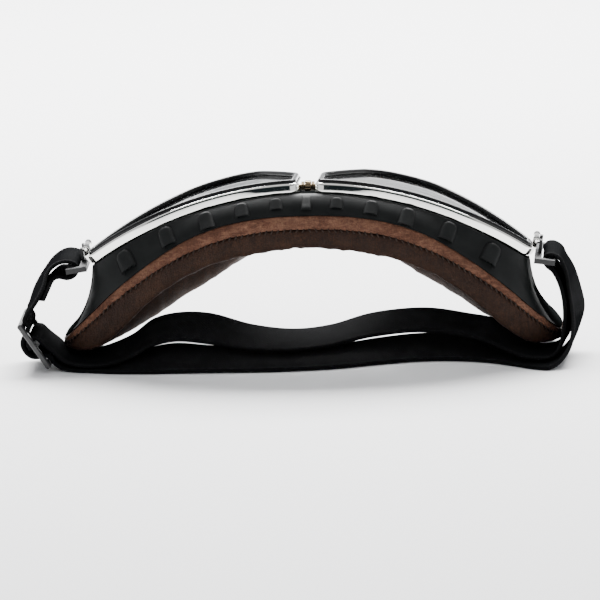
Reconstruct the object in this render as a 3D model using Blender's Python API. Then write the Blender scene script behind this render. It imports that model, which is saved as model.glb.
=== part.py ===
"""Aviator style riding goggles with two metal rims, lying lens side up.

Frame: X to the wearer's sides, -Y towards the brow, +Y towards the cheeks,
+Z out through the lenses, floor at Z = 0. Lengths below are millimetres.
"""

import math

import bmesh
import bpy
import numpy as np

for old in list(bpy.data.objects):
    bpy.data.objects.remove(old, do_unlink=True)

MM = 0.001
OFFSET = (3.578, 0.739, -0.15)  # moves the whole object so that its base centre is the origin

# ---- lens surface: a cylinder along Y, leaning a little towards the cheeks
LENS_R = 142.5
TOP_Z = 70.0
AXIS_Z = TOP_Z - LENS_R
LEAN = 0.09
BROW_Y = -24.0

# ---- rims
RIM_WALL = 1.1
RIM_HEIGHT = 3.6
RIM_FLANGE = 3.2
LENS_EDGE = -2.2
LENS_TOP = -0.3
LENS_THICK = 1.6

# ---- rubber body and pad
BODY_TOP = -3.9
SKIN = 1.9
FLANGE = 1.6
PAD_WIDTH = 11.5
LEATHER = 1.4
GAP = 0.3

# ---- strap loops
HINGE_X, HINGE_Z = 85.7, 42.9
LOOP_DROOP = 8.0  # degrees below level
LOOP_Y0, LOOP_Y1 = -17.5, 14.5
SLOT_Y0, SLOT_Y1 = -14.6, 11.6
SLOT_R0, SLOT_R1, LOOP_R = 2.75, 5.3, 7.9
LOOP_T0, LOOP_T1 = -6.8, -4.8  # the plate hangs this far under the hinge line
PIN_R, BORE_R, KNUCKLE_R = 0.7, 0.8, 1.3

# ---- bridge adjuster
BRIDGE_Y, BRIDGE_Z = -13.0, 66.8
WHEEL_R, STUD_R = 2.1, 0.8

# ---- strap and slider
STRAP_W, STRAP_T = 25.0, 1.6
STRAP_REST = 0.95  # lowest height of the strap's middle plane
SLIDER_AT = (-104.5, -17.0, 10.5)
SLIDER_T = (0.55, 0.0, -0.8352)  # along the strap, down to the floor
SLIDER_H = (0.8352, 0.0, 0.55)  # out of the slider's upper face
SLIDER_LEN, SLIDER_W, SLIDER_THICK = 20.0, 31.0, 2.0


# ------------------------------------------------------------------ helpers
def material(name, colour, rough, metal=0.0, alpha=1.0):
    m = bpy.data.materials.new(name)
    m.use_nodes = True
    b = m.node_tree.nodes["Principled BSDF"]
    b.inputs["Base Color"].default_value = (*colour, 1.0)
    b.inputs["Roughness"].default_value = rough
    b.inputs["Metallic"].default_value = metal
    b.inputs["Alpha"].default_value = alpha
    return m


CHROME = material("chrome", (0.86, 0.85, 0.82), 0.08, 1.0)
RUBBER = material("black_rubber", (0.012, 0.013, 0.013), 0.5)
GASKET = material("gasket_rubber", (0.01, 0.01, 0.01), 0.35)
LENS = material("clear_lens", (0.9, 0.93, 0.93), 0.03, 0.0, 0.25)
LEATHER_OUT = material("leather_band", (0.15, 0.065, 0.04), 0.55)
LEATHER_IN = material("leather_face", (0.07, 0.035, 0.02), 0.6)
FOAM = material("foam", (0.2, 0.18, 0.15), 0.9)
STEEL = material("steel", (0.5, 0.5, 0.5), 0.3, 1.0)
GREY = material("loop_metal", (0.12, 0.12, 0.12), 0.4, 0.8)
BRASS = material("dark_brass", (0.25, 0.19, 0.12), 0.35, 1.0)
WEBBING = material("webbing", (0.006, 0.006, 0.007), 0.9)
PLASTIC = material("slider_plastic", (0.01, 0.01, 0.01), 0.35)


def make(name, verts, faces, mat, smooth=35.0):
    """A named closed mesh object from millimetre points."""
    me = bpy.data.meshes.new(name)
    me.from_pydata(
        [tuple((c + o) * MM for c, o in zip(v, OFFSET)) for v in verts], [], faces
    )
    bm = bmesh.new()
    bm.from_mesh(me)
    bmesh.ops.recalc_face_normals(bm, faces=bm.faces)
    bm.to_mesh(me)
    bm.free()
    me.materials.append(mat)
    me.shade_smooth()
    me.set_sharp_from_angle(angle=math.radians(smooth))
    o = bpy.data.objects.new(name, me)
    bpy.context.scene.collection.objects.link(o)
    return o


def mirrored(verts):
    return [(-x, y, z) for x, y, z in verts]


def cutter(o):
    o.hide_render = True
    o.display_type = "WIRE"
    return o


def boolean(o, other, kind):
    m = o.modifiers.new(kind.lower(), "BOOLEAN")
    m.object = other
    m.operation = kind
    m.solver = "EXACT"
    cutter(other)


def closed_spline(points, counts):
    """Points along a closed Catmull-Rom curve; counts[i] samples after point i."""
    p = np.array(points, float)
    n, out = len(p), []
    for i in range(n):
        a, b, c, d = p[i - 1], p[i], p[(i + 1) % n], p[(i + 2) % n]
        ab, bc, cd = (
            np.linalg.norm(b - a) ** 0.5,
            np.linalg.norm(c - b) ** 0.5,
            np.linalg.norm(d - c) ** 0.5,
        )
        m1 = (c - b) + bc * ((b - a) / ab - (c - a) / (ab + bc))
        m2 = (c - b) + bc * ((d - c) / cd - (d - b) / (bc + cd))
        for k in range(counts[i]):
            t = k / counts[i]
            out.append(
                (2 * t**3 - 3 * t**2 + 1) * b
                + (t**3 - 2 * t**2 + t) * m1
                + (-2 * t**3 + 3 * t**2) * c
                + (t**3 - t**2) * m2
            )
    return np.array(out)


def open_spline(points, step):
    """Points about step apart along an open curve through rows of numbers; the first three columns are the position."""
    p = np.array(points, float)
    p = np.vstack([2 * p[0] - p[1], p, 2 * p[-1] - p[-2]])
    out = []
    for i in range(1, len(p) - 2):
        a, b, c, d = p[i - 1], p[i], p[i + 1], p[i + 2]
        la, lb, lc = (
            np.linalg.norm((v - u)[:3]) ** 0.5 for u, v in ((a, b), (b, c), (c, d))
        )
        m1 = (c - b) + lb * ((b - a) / la - (c - a) / (la + lb))
        m2 = (c - b) + lb * ((d - c) / lc - (d - b) / (lb + lc))
        n = max(1, round(np.linalg.norm((c - b)[:3]) / step))
        for k in range(n):
            t = k / n
            out.append(
                (2 * t**3 - 3 * t**2 + 1) * b
                + (t**3 - 2 * t**2 + t) * m1
                + (-2 * t**3 + 3 * t**2) * c
                + (t**3 - t**2) * m2
            )
    out.append(p[-2])
    return np.array(out)


def ring(rows):
    """Closed mesh through rows of equal closed loops, the last joined to the first."""
    n, m = len(rows[0]), len(rows)
    verts = [tuple(p) for row in rows for p in row]
    faces = [
        (
            j * n + i,
            j * n + (i + 1) % n,
            ((j + 1) % m) * n + (i + 1) % n,
            ((j + 1) % m) * n + i,
        )
        for j in range(m)
        for i in range(n)
    ]
    return verts, faces


def box(lo, hi):
    v = [
        (x, y, z) for x in (lo[0], hi[0]) for y in (lo[1], hi[1]) for z in (lo[2], hi[2])
    ]
    f = [
        (0, 1, 3, 2),
        (4, 6, 7, 5),
        (0, 4, 5, 1),
        (2, 3, 7, 6),
        (0, 2, 6, 4),
        (1, 5, 7, 3),
    ]
    return v, f


def turned(p0, axis, rows, n=16, phase=0.0):
    """A solid turned about an axis; rows are (distance along, radius)."""
    axis = np.array(axis, float) / np.linalg.norm(axis)
    side = np.array((0, 0, 1.0)) if abs(axis[2]) < 0.9 else np.array((1.0, 0, 0))
    e1 = np.cross(axis, side)
    e1 /= np.linalg.norm(e1)
    e2 = np.cross(axis, e1)
    verts, faces = [], []
    for d, r in rows:
        for k in range(n):
            a = 2 * math.pi * k / n + phase
            verts.append(
                tuple(
                    np.array(p0) + axis * d + e1 * r * math.cos(a) + e2 * r * math.sin(a)
                )
            )
    for j in range(len(rows) - 1):
        for k in range(n):
            faces.append(
                (
                    j * n + k,
                    j * n + (k + 1) % n,
                    (j + 1) * n + (k + 1) % n,
                    (j + 1) * n + k,
                )
            )
    faces.append(tuple(range(n))[::-1])
    faces.append(tuple(range((len(rows) - 1) * n, len(rows) * n)))
    return verts, faces


def joined(parts):
    verts, faces = [], []
    for v, f in parts:
        k = len(verts)
        verts += list(v)
        faces += [tuple(i + k for i in face) for face in f]
    return verts, faces


# ------------------------------------------------------------------ rims
def on_lens(s, y, v):
    """A point given by its distance round the lens surface, y, and height above it."""
    a = s / LENS_R
    return (
        (LENS_R + v) * math.sin(a),
        y,
        AXIS_Z + (LENS_R + v) * math.cos(a) - LEAN * (y - BROW_Y),
    )


def round_x(x):
    return LENS_R * math.asin(x / LENS_R)


# corners of one rim's outline seen from the front, with their radii
RIM_CORNERS = [
    (2.8, -24.0, 4.5),
    (66.0, -24.0, 60.0),
    (84.6, -17.5, 4.0),
    (84.6, -5.5, 5.0),
    (66.0, 13.0, 80.0),
    (46.0, 30.5, 24.0),
    (22.0, 32.0, 16.0),
    (2.8, 3.5, 10.0),
]


def rounded(corners, step):
    """A closed outline with arcs at its corners, counter-clockwise."""
    n, out = len(corners), []
    pts = [np.array((round_x(x), y)) for x, y, _ in corners]
    arcs = []
    for i in range(n):
        p, r = pts[i], corners[i][2]
        a, b = pts[i - 1] - p, pts[(i + 1) % n] - p
        a, b = a / np.linalg.norm(a), b / np.linalg.norm(b)
        half = math.acos(max(-1, min(1, a @ b))) / 2
        t = r / math.tan(half)
        mid = (a + b) / np.linalg.norm(a + b)
        centre = p + mid * r / math.sin(half)
        turn = math.pi - 2 * half
        k = max(1, math.ceil(turn / math.radians(22)))
        s = p + a * t - centre
        arcs.append(
            [
                centre
                + np.array(
                    (
                        s[0] * math.cos(q) - s[1] * math.sin(q),
                        s[0] * math.sin(q) + s[1] * math.cos(q),
                    )
                )
                for q in [turn * j / k for j in range(k + 1)]
            ]
        )
    for i in range(n):
        out += arcs[i]
        a, b = arcs[i][-1], arcs[(i + 1) % n][0]
        k = max(1, round(np.linalg.norm(b - a) / step))
        out += [a + (b - a) * j / k for j in range(1, k)]
    return np.array(out)


def inset(loop, u):
    """The outline moved outwards by u, corners kept sharp."""
    d = np.roll(loop, -1, 0) - loop
    d /= np.linalg.norm(d, axis=1)[:, None]
    n = np.stack([d[:, 1], -d[:, 0]], 1)
    m = np.roll(n, 1, 0)
    return loop + u * (n + m) / (1 + (n * m).sum(1))[:, None]


OUTLINE = rounded(RIM_CORNERS, 7.0)


def rim_ring(section):
    return ring([[on_lens(s, y, v) for s, y in inset(OUTLINE, u)] for u, v in section])


def both(name, shape, mat, smooth=35.0):
    """The right-hand piece and its mirror image."""
    v, f = shape
    return [
        make("right_" + name, v, f, mat, smooth),
        make("left_" + name, mirrored(v), f, mat, smooth),
    ]


rims = both(
    "rim",
    rim_ring(
        [
            (0.0, -RIM_HEIGHT),
            (0.0, -0.45),
            (-0.3, 0.0),
            (-0.8, 0.0),
            (-RIM_WALL, -0.3),
            (-RIM_WALL, -RIM_HEIGHT + 0.7),
            (-RIM_FLANGE, -RIM_HEIGHT + 0.7),
            (-RIM_FLANGE, -RIM_HEIGHT),
        ]
    ),
    CHROME,
)

both(
    "lens_gasket",
    rim_ring(
        [
            (-1.4, -2.6),
            (-1.4, 0.9),
            (-1.9, 1.4),
            (-2.9, 1.4),
            (-3.4, 0.9),
            (-3.4, 0.0),
            (-1.9, 0.0),
            (-1.9, -2.2),
            (-3.2, -2.2),
            (-3.2, -2.6),
        ]
    ),
    GASKET,
)

both(
    "retaining_ring",
    rim_ring([(-1.6, -6.1), (-1.6, -6.9), (-3.4, -6.9), (-3.4, -6.1)]),
    STEEL,
)


def lens_shape():
    """The curved lens: rings of its outline drawn in towards its middle."""
    edge = inset(OUTLINE, LENS_EDGE)
    heart = np.array((round_x(37.0), 1.5))
    n = len(edge)
    levels = (1.0, 0.72, 0.42)
    verts, faces = [], []
    for v in (LENS_TOP, LENS_TOP - LENS_THICK):
        for k in levels:
            verts += [on_lens(*(heart + (p - heart) * k), v) for p in edge]
        verts.append(on_lens(*heart, v))
    half = len(levels) * n + 1
    for side in (0, half):
        for j in range(len(levels) - 1):
            for i in range(n):
                q = (
                    side + j * n + i,
                    side + j * n + (i + 1) % n,
                    side + (j + 1) * n + (i + 1) % n,
                    side + (j + 1) * n + i,
                )
                faces.append(q if side == 0 else q[::-1])
        j = len(levels) - 1
        for i in range(n):
            q = (side + j * n + i, side + j * n + (i + 1) % n, side + len(levels) * n)
            faces.append(q if side == 0 else q[::-1])
    for i in range(n):
        faces.append((i, half + i, half + (i + 1) % n, (i + 1) % n))
    return verts, faces


both("lens", lens_shape(), LENS)

# ------------------------------------------------------------------ body and pad outlines
# One row of stations from the bridge (x = 0) to the temple, brow side first,
# then round the temple end and back along the cheek side to the bridge.
TOP_X = [0, 9, 18, 28, 40, 53, 65, 74.5, 80.8]
TOP_BROW = [-25.2, -25.2, -25.2, -25.2, -25.2, -25.1, -24.4, -22.3, -18.8]
TOP_CHEEK = [5.0, 16.6, 28.4, 33.2, 32.8, 26.0, 16.4, 7.6, -1.4]
TOP_END = [(82.7, -14.0), (83.2, -9.6), (82.7, -5.4)]

SEAM_BROW = [
    (0, -31.5, 59.0),
    (10, -31.5, 58.8),
    (20.5, -31.5, 57.8),
    (32, -31.5, 55.5),
    (46, -31.5, 50.2),
    (60.5, -31.2, 41.2),
    (73.5, -29.8, 31.0),
    (84, -26.2, 20.8),
    (91, -20, 13.8),
]
SEAM_END = [(94.0, -12, 10.4), (94.6, -2.5, 9.4), (93.8, 8, 9.7)]
SEAM_CHEEK = [
    (0, 11, 56.0),
    (9, 20, 54.5),
    (18, 32, 51.5),
    (28, 39, 47.5),
    (40, 41, 42.0),
    (54, 36.5, 34.4),
    (67.5, 29, 26.4),
    (80, 22.5, 18.8),
    (89.8, 16, 12.6),
]
FOOT_BROW = [
    (0, -32, 46.3),
    (10, -32, 45.4),
    (20.5, -32, 43.9),
    (31.5, -32, 41.6),
    (46, -32, 36.0),
    (61, -31.7, 26.0),
    (74, -29.6, 13.9),
    (84, -25.8, 7.4),
    (91, -19.5, 5.8),
]
FOOT_END = [(93.8, -12, 5.2), (94.2, -2.5, 4.7), (93.4, 7.5, 1.8)]
FOOT_CHEEK = [
    (0, 11, 42.0),
    (9, 19.5, 39.0),
    (18, 31.5, 34.5),
    (28, 38.5, 29.0),
    (40, 40, 22.8),
    (54, 35.5, 16.5),
    (67.5, 27.5, 9.0),
    (80, 20.5, 3.2),
    (89.4, 14.5, 0.4),
]


def seat_z(x, y, v=BODY_TOP):
    r = LENS_R + v
    return AXIS_Z + math.sqrt(r * r - x * x) - LEAN * (y - BROW_Y)


def full_loop(brow, end, cheek):
    """The half row and its mirror image as one closed row, counter-clockwise from above."""
    half = list(brow) + list(end) + list(cheek)[::-1]
    other = [(-x, y, z) for x, y, z in half[1:-1]][::-1]
    return half + other


TOP = full_loop(
    [(x, y, seat_z(x, y)) for x, y in zip(TOP_X, TOP_BROW)],
    [(x, y, seat_z(x, y)) for x, y in TOP_END],
    [(x, y, seat_z(x, y)) for x, y in zip(TOP_X, TOP_CHEEK)],
)
SEAM = full_loop(SEAM_BROW, SEAM_END, SEAM_CHEEK)
FOOT = full_loop(FOOT_BROW, FOOT_END, FOOT_CHEEK)
STATIONS = len(TOP)
HALF = 21


def outward(row):
    """Level unit vectors that point out of a closed row."""
    p = np.array(row)[:, :2]
    d = np.roll(p, -1, 0) - np.roll(p, 1, 0)
    d /= np.linalg.norm(d, axis=1)[:, None]
    return np.stack([d[:, 1], -d[:, 0], np.zeros(len(d))], 1)


TOP, SEAM, FOOT = (np.array(r, float) for r in (TOP, SEAM, FOOT))
OUT = outward(SEAM)
DOWN = FOOT - SEAM
DEPTH = np.linalg.norm(DOWN, axis=1)
DOWN /= DEPTH[:, None]


def station_values(bridge, temple, bridge_cheek):
    """A number at each station: bridge value, temple value, and back."""
    out = []
    for i in range(STATIONS):
        k = i if i < HALF else STATIONS - i
        if k <= 9:
            out.append(bridge + (temple - bridge) * max(0.0, (k - 4) / 5.0))
        elif k <= 11:
            out.append(temple)
        else:
            out.append(temple + (bridge_cheek - temple) * min(1.0, (k - 11) / 5.0))
    return np.array(out)


WIDTH = station_values(PAD_WIDTH, 8.5, PAD_WIDTH)  # pad width at each station
BAND = station_values(5.2, 2.3, 4.4)  # height of the outer leather band
BULGE = station_values(0.9, -2.6, 0.9)  # how far the body's wall swells

MIDDLE = (TOP + SEAM) / 2 + OUT * BULGE[:, None]
MIDDLE[:, 2] += np.where(np.abs(MIDDLE[:, 0]) > 80, -1.2, 0.6)

COUNTS = [2] * STATIONS


def pad_row(out, down):
    """A row across the pad: out is a share of its width (0 outside, 1 inside), down in mm."""
    out = np.broadcast_to(out, (STATIONS,))
    return SEAM - OUT * out[:, None] + DOWN * np.broadcast_to(down, (STATIONS,))[:, None]


def pad_ring(rows, counts=COUNTS):
    return ring([closed_spline(r, counts) for r in rows])


# ------------------------------------------------------------------ rubber body
def block(rows, counts=COUNTS, across=7):
    """A closed skin through rows of stations; its two ends follow the lens surface."""
    loops = [closed_spline(r, counts) for r in rows]
    n = len(loops[0])
    verts = [tuple(p) for loop in loops for p in loop]
    faces = []
    for j in range(len(loops) - 1):
        for i in range(n):
            faces.append(
                (
                    j * n + i,
                    j * n + (i + 1) % n,
                    (j + 1) * n + (i + 1) % n,
                    (j + 1) * n + i,
                )
            )
    # stations along the brow side pair with stations along the cheek side
    quarter = 8 * counts[0]  # samples from the bridge to the last paired station
    centre_far = (HALF - 1) * counts[0]
    for level, flip in ((0, False), (len(loops) - 1, True)):
        base = level * n
        columns = []
        for k in range(-quarter, quarter + 1):
            near, far = base + k % n, base + (centre_far - k) % n
            a, b = np.array(verts[near]), np.array(verts[far])
            column = [near]
            for q in range(1, across):
                p = a + (b - a) * q / across
                p[2] = seat_level(p[0], p[1], a, b, q / across)
                verts.append(tuple(p))
                column.append(len(verts) - 1)
            column.append(far)
            columns.append(column)
        for c, d in zip(columns, columns[1:]):
            for q in range(across):
                face = (c[q], d[q], d[q + 1], c[q + 1])
                faces.append(face if flip else face[::-1])
        # the rounded temple ends
        for column, lo, hi, way in (
            (columns[-1], quarter, centre_far - quarter, 1),
            (columns[0], n - quarter, n - (centre_far - quarter), -1),
        ):
            end = []
            k = lo
            while k != hi:
                end.append(base + k % n)
                k += way
            end.append(base + hi % n)
            faces.append(tuple(end[:-1] + column[1:][::-1]))
    return verts, faces


def seat_level(x, y, a, b, t):
    """Follows the lens surface between two points that lie on a shifted copy of it."""
    return (
        seat_z(x, y)
        + (a[2] - seat_z(a[0], a[1])) * (1 - t)
        + (b[2] - seat_z(b[0], b[1])) * t
    )


UP = np.array((0.0, 0.0, 1.0))


def slope(upper, lower):
    """Level run and length of the wall between two rows, each for one unit of drop."""
    run = ((lower - upper) * OUT).sum(1)
    drop = np.maximum(upper[:, 2] - lower[:, 2], 0.5)
    return run / drop, np.hypot(run, drop) / drop


def inner_wall(thick, flange):
    """The rows inside the body's skin: above the flange, half way up, and under the top."""
    run, length = slope(MIDDLE, SEAM)
    above = SEAM - OUT * (flange * run + thick * length)[:, None] + UP * flange
    run, length = slope(TOP, SEAM)
    half = MIDDLE - (OUT + UP * run[:, None]) * (thick / length)[:, None]
    run, length = slope(TOP, MIDDLE)
    top = TOP - OUT * (thick * (length - run))[:, None]
    top[:, 2] = [seat_z(x, y, BODY_TOP - thick) for x, y, _ in top]
    # where the wall lies nearly flat, its middle is taken between the other two
    flat = np.clip((above[:, 2] + 3.0 - half[:, 2]) / 2.0, 0, 1)[:, None]
    half = half * (1 - flat) + (above + top) / 2 * flat
    return above, half, top


IN_FLANGE, IN_HALF, IN_TOP = inner_wall(SKIN, FLANGE)
LIP = SEAM - OUT * (WIDTH - 1.6)[:, None]
# outer wall, flange that the pad is glued to, then back up the inside
body = make(
    "mask_body",
    *block(
        [
            TOP,
            MIDDLE,
            SEAM,
            LIP,
            LIP + UP * FLANGE,
            IN_FLANGE,
            IN_HALF,
            IN_TOP,
        ]
    ),
    RUBBER,
)


def eye_prism(sign):
    """The eye opening, a straight plug through the body's front."""
    loop = inset(OUTLINE, -RIM_FLANGE - 0.2)
    rows = []
    for v in (BODY_TOP + 1.5, BODY_TOP - SKIN - 1.5):
        rows.append([on_lens(s, y, v) for s, y in loop])
    n = len(loop)
    verts = [(sign * x, y, z) for row in rows for x, y, z in row]
    faces = [(i, (i + 1) % n, n + (i + 1) % n, n + i) for i in range(n)]
    # ends are strips across the outline, so they follow its curve
    lo, hi = int(loop[:, 0].argmin()), int(loop[:, 0].argmax())
    for base in (0, n):
        a, b = [], []
        k = lo
        while k != hi:
            a.append(k)
            k = (k + 1) % n
        a.append(hi)
        k = lo
        while k != hi:
            b.append(k)
            k = (k - 1) % n
        b.append(hi)
        i = j = 0
        while i < len(a) - 1 or j < len(b) - 1:
            step_a = j == len(b) - 1 or (
                i < len(a) - 1 and loop[a[i + 1]][0] <= loop[b[j + 1]][0]
            )
            if step_a:
                tri = (a[i], a[i + 1], b[j])
                i += 1
            else:
                tri = (a[i], b[j + 1], b[j])
                j += 1
            if len(set(tri)) == 3:
                faces.append(tuple(base + q for q in tri))
    return verts, faces


# ---- vent hoods: small bullet-shaped hoods, round towards the lenses, open below
def hood(sign, x, side, wide, tall, high, lift):
    """Returns the hood's solid and the slanting air hole under it."""
    rows = {}
    src = (
        (TOP[:9], MIDDLE[:9], SEAM[:9])
        if side == "brow"
        else (TOP[12:21], MIDDLE[12:21], SEAM[12:21])
    )
    at = []
    for row in src:
        xs = row[:, 0]
        order = np.argsort(xs)
        at.append(
            np.array(
                [
                    np.interp(x * (xs.max() / max(src[1][:, 0].max(), 1)), xs[order], row[order, k])
                    for k in range(3)
                ]
            )
        )
    t, m, b = at
    down = (b - t) / np.linalg.norm(b - t)
    along = np.array(
        [np.interp(x + 3, sorted(src[1][:, 0]), src[1][np.argsort(src[1][:, 0]), k]) for k in range(3)]
    ) - np.array(
        [np.interp(x - 3, sorted(src[1][:, 0]), src[1][np.argsort(src[1][:, 0]), k]) for k in range(3)]
    )
    along /= np.linalg.norm(along)
    down = down - along * (down @ along)
    down /= np.linalg.norm(down)
    out = np.cross(along, down)
    if out[1] * (-1 if side == "brow" else 1) < 0:
        out = -out
    c = m * 0.72 + (t + b) * 0.14 - down * lift
    verts, faces = [], []
    levels = [(0.02, 0.30), (0.10, 0.62), (0.25, 0.88), (0.45, 1.0), (1.0, 1.0)]
    k = 7
    for d, s in levels:
        p = c + down * (d - 0.5) * tall
        for q in range(k):
            a = math.pi * q / (k - 1)
            verts.append(
                p + along * (math.cos(a) * wide / 2 * s) + out * (math.sin(a) * high * s)
            )
        for q in (-1, 1):
            verts.append(p + along * (q * wide / 2 * s) - out * 1.2)
    row = k + 2
    for j in range(len(levels) - 1):
        for q in range(row):
            faces.append(
                (
                    j * row + q,
                    j * row + (q + 1) % row,
                    (j + 1) * row + (q + 1) % row,
                    (j + 1) * row + q,
                )
            )
    faces.append(tuple(range(row))[::-1])
    faces.append(tuple(range((len(levels) - 1) * row, len(levels) * row)))
    solid = ([(sign * p[0], p[1], p[2]) for p in verts], faces)
    start = c + down * (tall * 0.5 + 1.2) + out * 0.5
    hv, hf = turned(start, -down * 0.72 - out * 0.7, [(0, wide * 0.22), (6.0, wide * 0.22)], 8, 0.37)
    hole = ([(sign * p[0], p[1], p[2]) for p in hv], hf)
    return solid, hole


HOODS = [
    (11.4, "brow", 4.6, 5.2, 1.3, 0.6),
    (24.3, "brow", 4.9, 6.3, 1.4, 0.3),
    (37.7, "brow", 5.2, 7.8, 1.5, 0.0),
    (52.6, "brow", 5.5, 8.2, 1.6, 0.8),
    (68.3, "brow", 6.2, 8.8, 1.7, 1.2),
    (30.0, "cheek", 5.0, 7.0, 1.5, 0.0),
    (47.0, "cheek", 5.4, 8.0, 1.6, 0.0),
    (62.0, "cheek", 5.6, 8.0, 1.6, 0.0),
]
hood_solids, hood_holes = [], []
for sign in (1, -1):
    for spec in HOODS:
        s, h = hood(sign, *spec)
        hood_solids.append(s)
        hood_holes.append(h)

# the moulded pleat under the bridge
pleat = (
    [
        (x, y, z)
        for x, y, z in (
            (-1.6, -29.2, 61.3),
            (1.6, -29.2, 61.3),
            (1.6, -25.4, 64.8),
            (-1.6, -25.4, 64.8),
            (-1.3, -30.6, 62.6),
            (1.3, -30.6, 62.6),
            (1.3, -26.7, 65.9),
            (-1.3, -26.7, 65.9),
        )
    ],
    [(0, 3, 2, 1), (4, 5, 6, 7), (0, 1, 5, 4), (1, 2, 6, 5), (2, 3, 7, 6), (3, 0, 4, 7)],
)

boolean(body, make("add_hoods", *joined(hood_solids), RUBBER), "UNION")
boolean(body, make("add_pleat", *pleat, RUBBER), "UNION")
boolean(body, make("cut_right_eye", *eye_prism(1), RUBBER), "DIFFERENCE")
boolean(body, make("cut_left_eye", *eye_prism(-1), RUBBER), "DIFFERENCE")
boolean(body, make("cut_vents", *joined(hood_holes), RUBBER), "DIFFERENCE")
boolean(
    body,
    make(
        "cut_bridge",
        *turned((-2.9, BRIDGE_Y, BRIDGE_Z), (1, 0, 0), [(0, 2.6), (5.8, 2.6)], 20),
        RUBBER,
    ),
    "DIFFERENCE",
)

# ------------------------------------------------------------------ pad
h, w, b = DEPTH, WIDTH, BAND
make(
    "leather_outer_band",
    *pad_ring(
        [
            pad_row(0.0, GAP),
            pad_row(-0.35, b * 0.55),
            pad_row(0.0, b),
            pad_row(LEATHER, b),
            pad_row(LEATHER - 0.2, b * 0.55),
            pad_row(LEATHER, GAP),
        ]
    ),
    LEATHER_OUT,
    50,
)
make(
    "leather_face_cover",
    *pad_ring(
        [
            pad_row(0.0, b + GAP),
            pad_row(-0.2, (b + h) / 2),
            pad_row(w * 0.10, h - 0.7),
            pad_row(w * 0.35, h),
            pad_row(w * 0.72, h - 0.3),
            pad_row(w * 0.95, h * 0.8),
            pad_row(w, h * 0.45),
            pad_row(w, GAP + 0.4),
            pad_row(w - LEATHER, GAP + 0.4),
            pad_row(w - LEATHER, h * 0.45),
            pad_row(w * 0.95 - LEATHER, h * 0.8 - LEATHER * 0.6),
            pad_row(w * 0.70, h - LEATHER - 0.3),
            pad_row(w * 0.36, h - LEATHER),
            pad_row(w * 0.10 + LEATHER, h - 0.7 - LEATHER * 0.6),
            pad_row(LEATHER, (b + h) / 2),
            pad_row(LEATHER, b + GAP),
        ]
    ),
    LEATHER_IN,
    50,
)
i = LEATHER + GAP
make(
    "pad_foam",
    *pad_ring(
        [
            pad_row(i, GAP + 0.7),
            pad_row(i, (b + h) / 2 - 0.3),
            pad_row(w * 0.10 + i, h - 0.9 - i * 0.8),
            pad_row(w * 0.37, h - i - 0.2),
            pad_row(w * 0.68, h - i - 0.6),
            pad_row(w * 0.95 - i - 0.1, h * 0.8 - i * 0.9),
            pad_row(w - i, h * 0.42),
            pad_row(w - i, GAP + 0.7),
        ]
    ),
    FOAM,
    50,
)

# ------------------------------------------------------------------ temple hinges and strap loops
droop = math.radians(LOOP_DROOP)
LOOP_OUT = np.array((math.cos(droop), 0, -math.sin(droop)))
LOOP_UP = np.array((math.sin(droop), 0, math.cos(droop)))
HINGE = np.array((HINGE_X, 0.0, HINGE_Z))
# the rim's tab, from the outside of its wall up to the knuckle
TAB = [(82.6, 39.4), (83.3, 38.6), (84.0, 39.0), (85.6, 41.0), (86.6, 42.6), (84.5, 43.0)]


def loop_point(r, y, t):
    p = HINGE + LOOP_OUT * r + LOOP_UP * t
    return (p[0], y, p[2])


def loop_box(r0, r1, y0, y1, t0, t1):
    v, f = box((r0, y0, t0), (r1, y1, t1))
    return [loop_point(*p) for p in v], f


def loop_leg(y0, y1):
    """An arm from the knuckle down to the plate, bent like the sheet it is pressed from."""
    shape = [(0.3, 0.2), (2.4, 0.2), (2.4, -6.0), (1.2, -6.0), (1.2, -1.0), (0.3, -1.0)]
    return (
        [loop_point(r, y, t) for y in (y0, y1) for r, t in shape],
        [(i, (i + 1) % 6, 6 + (i + 1) % 6, 6 + i) for i in range(6)]
        + [(5, 4, 3, 2, 1, 0), (6, 7, 8, 9, 10, 11)],
    )


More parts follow.
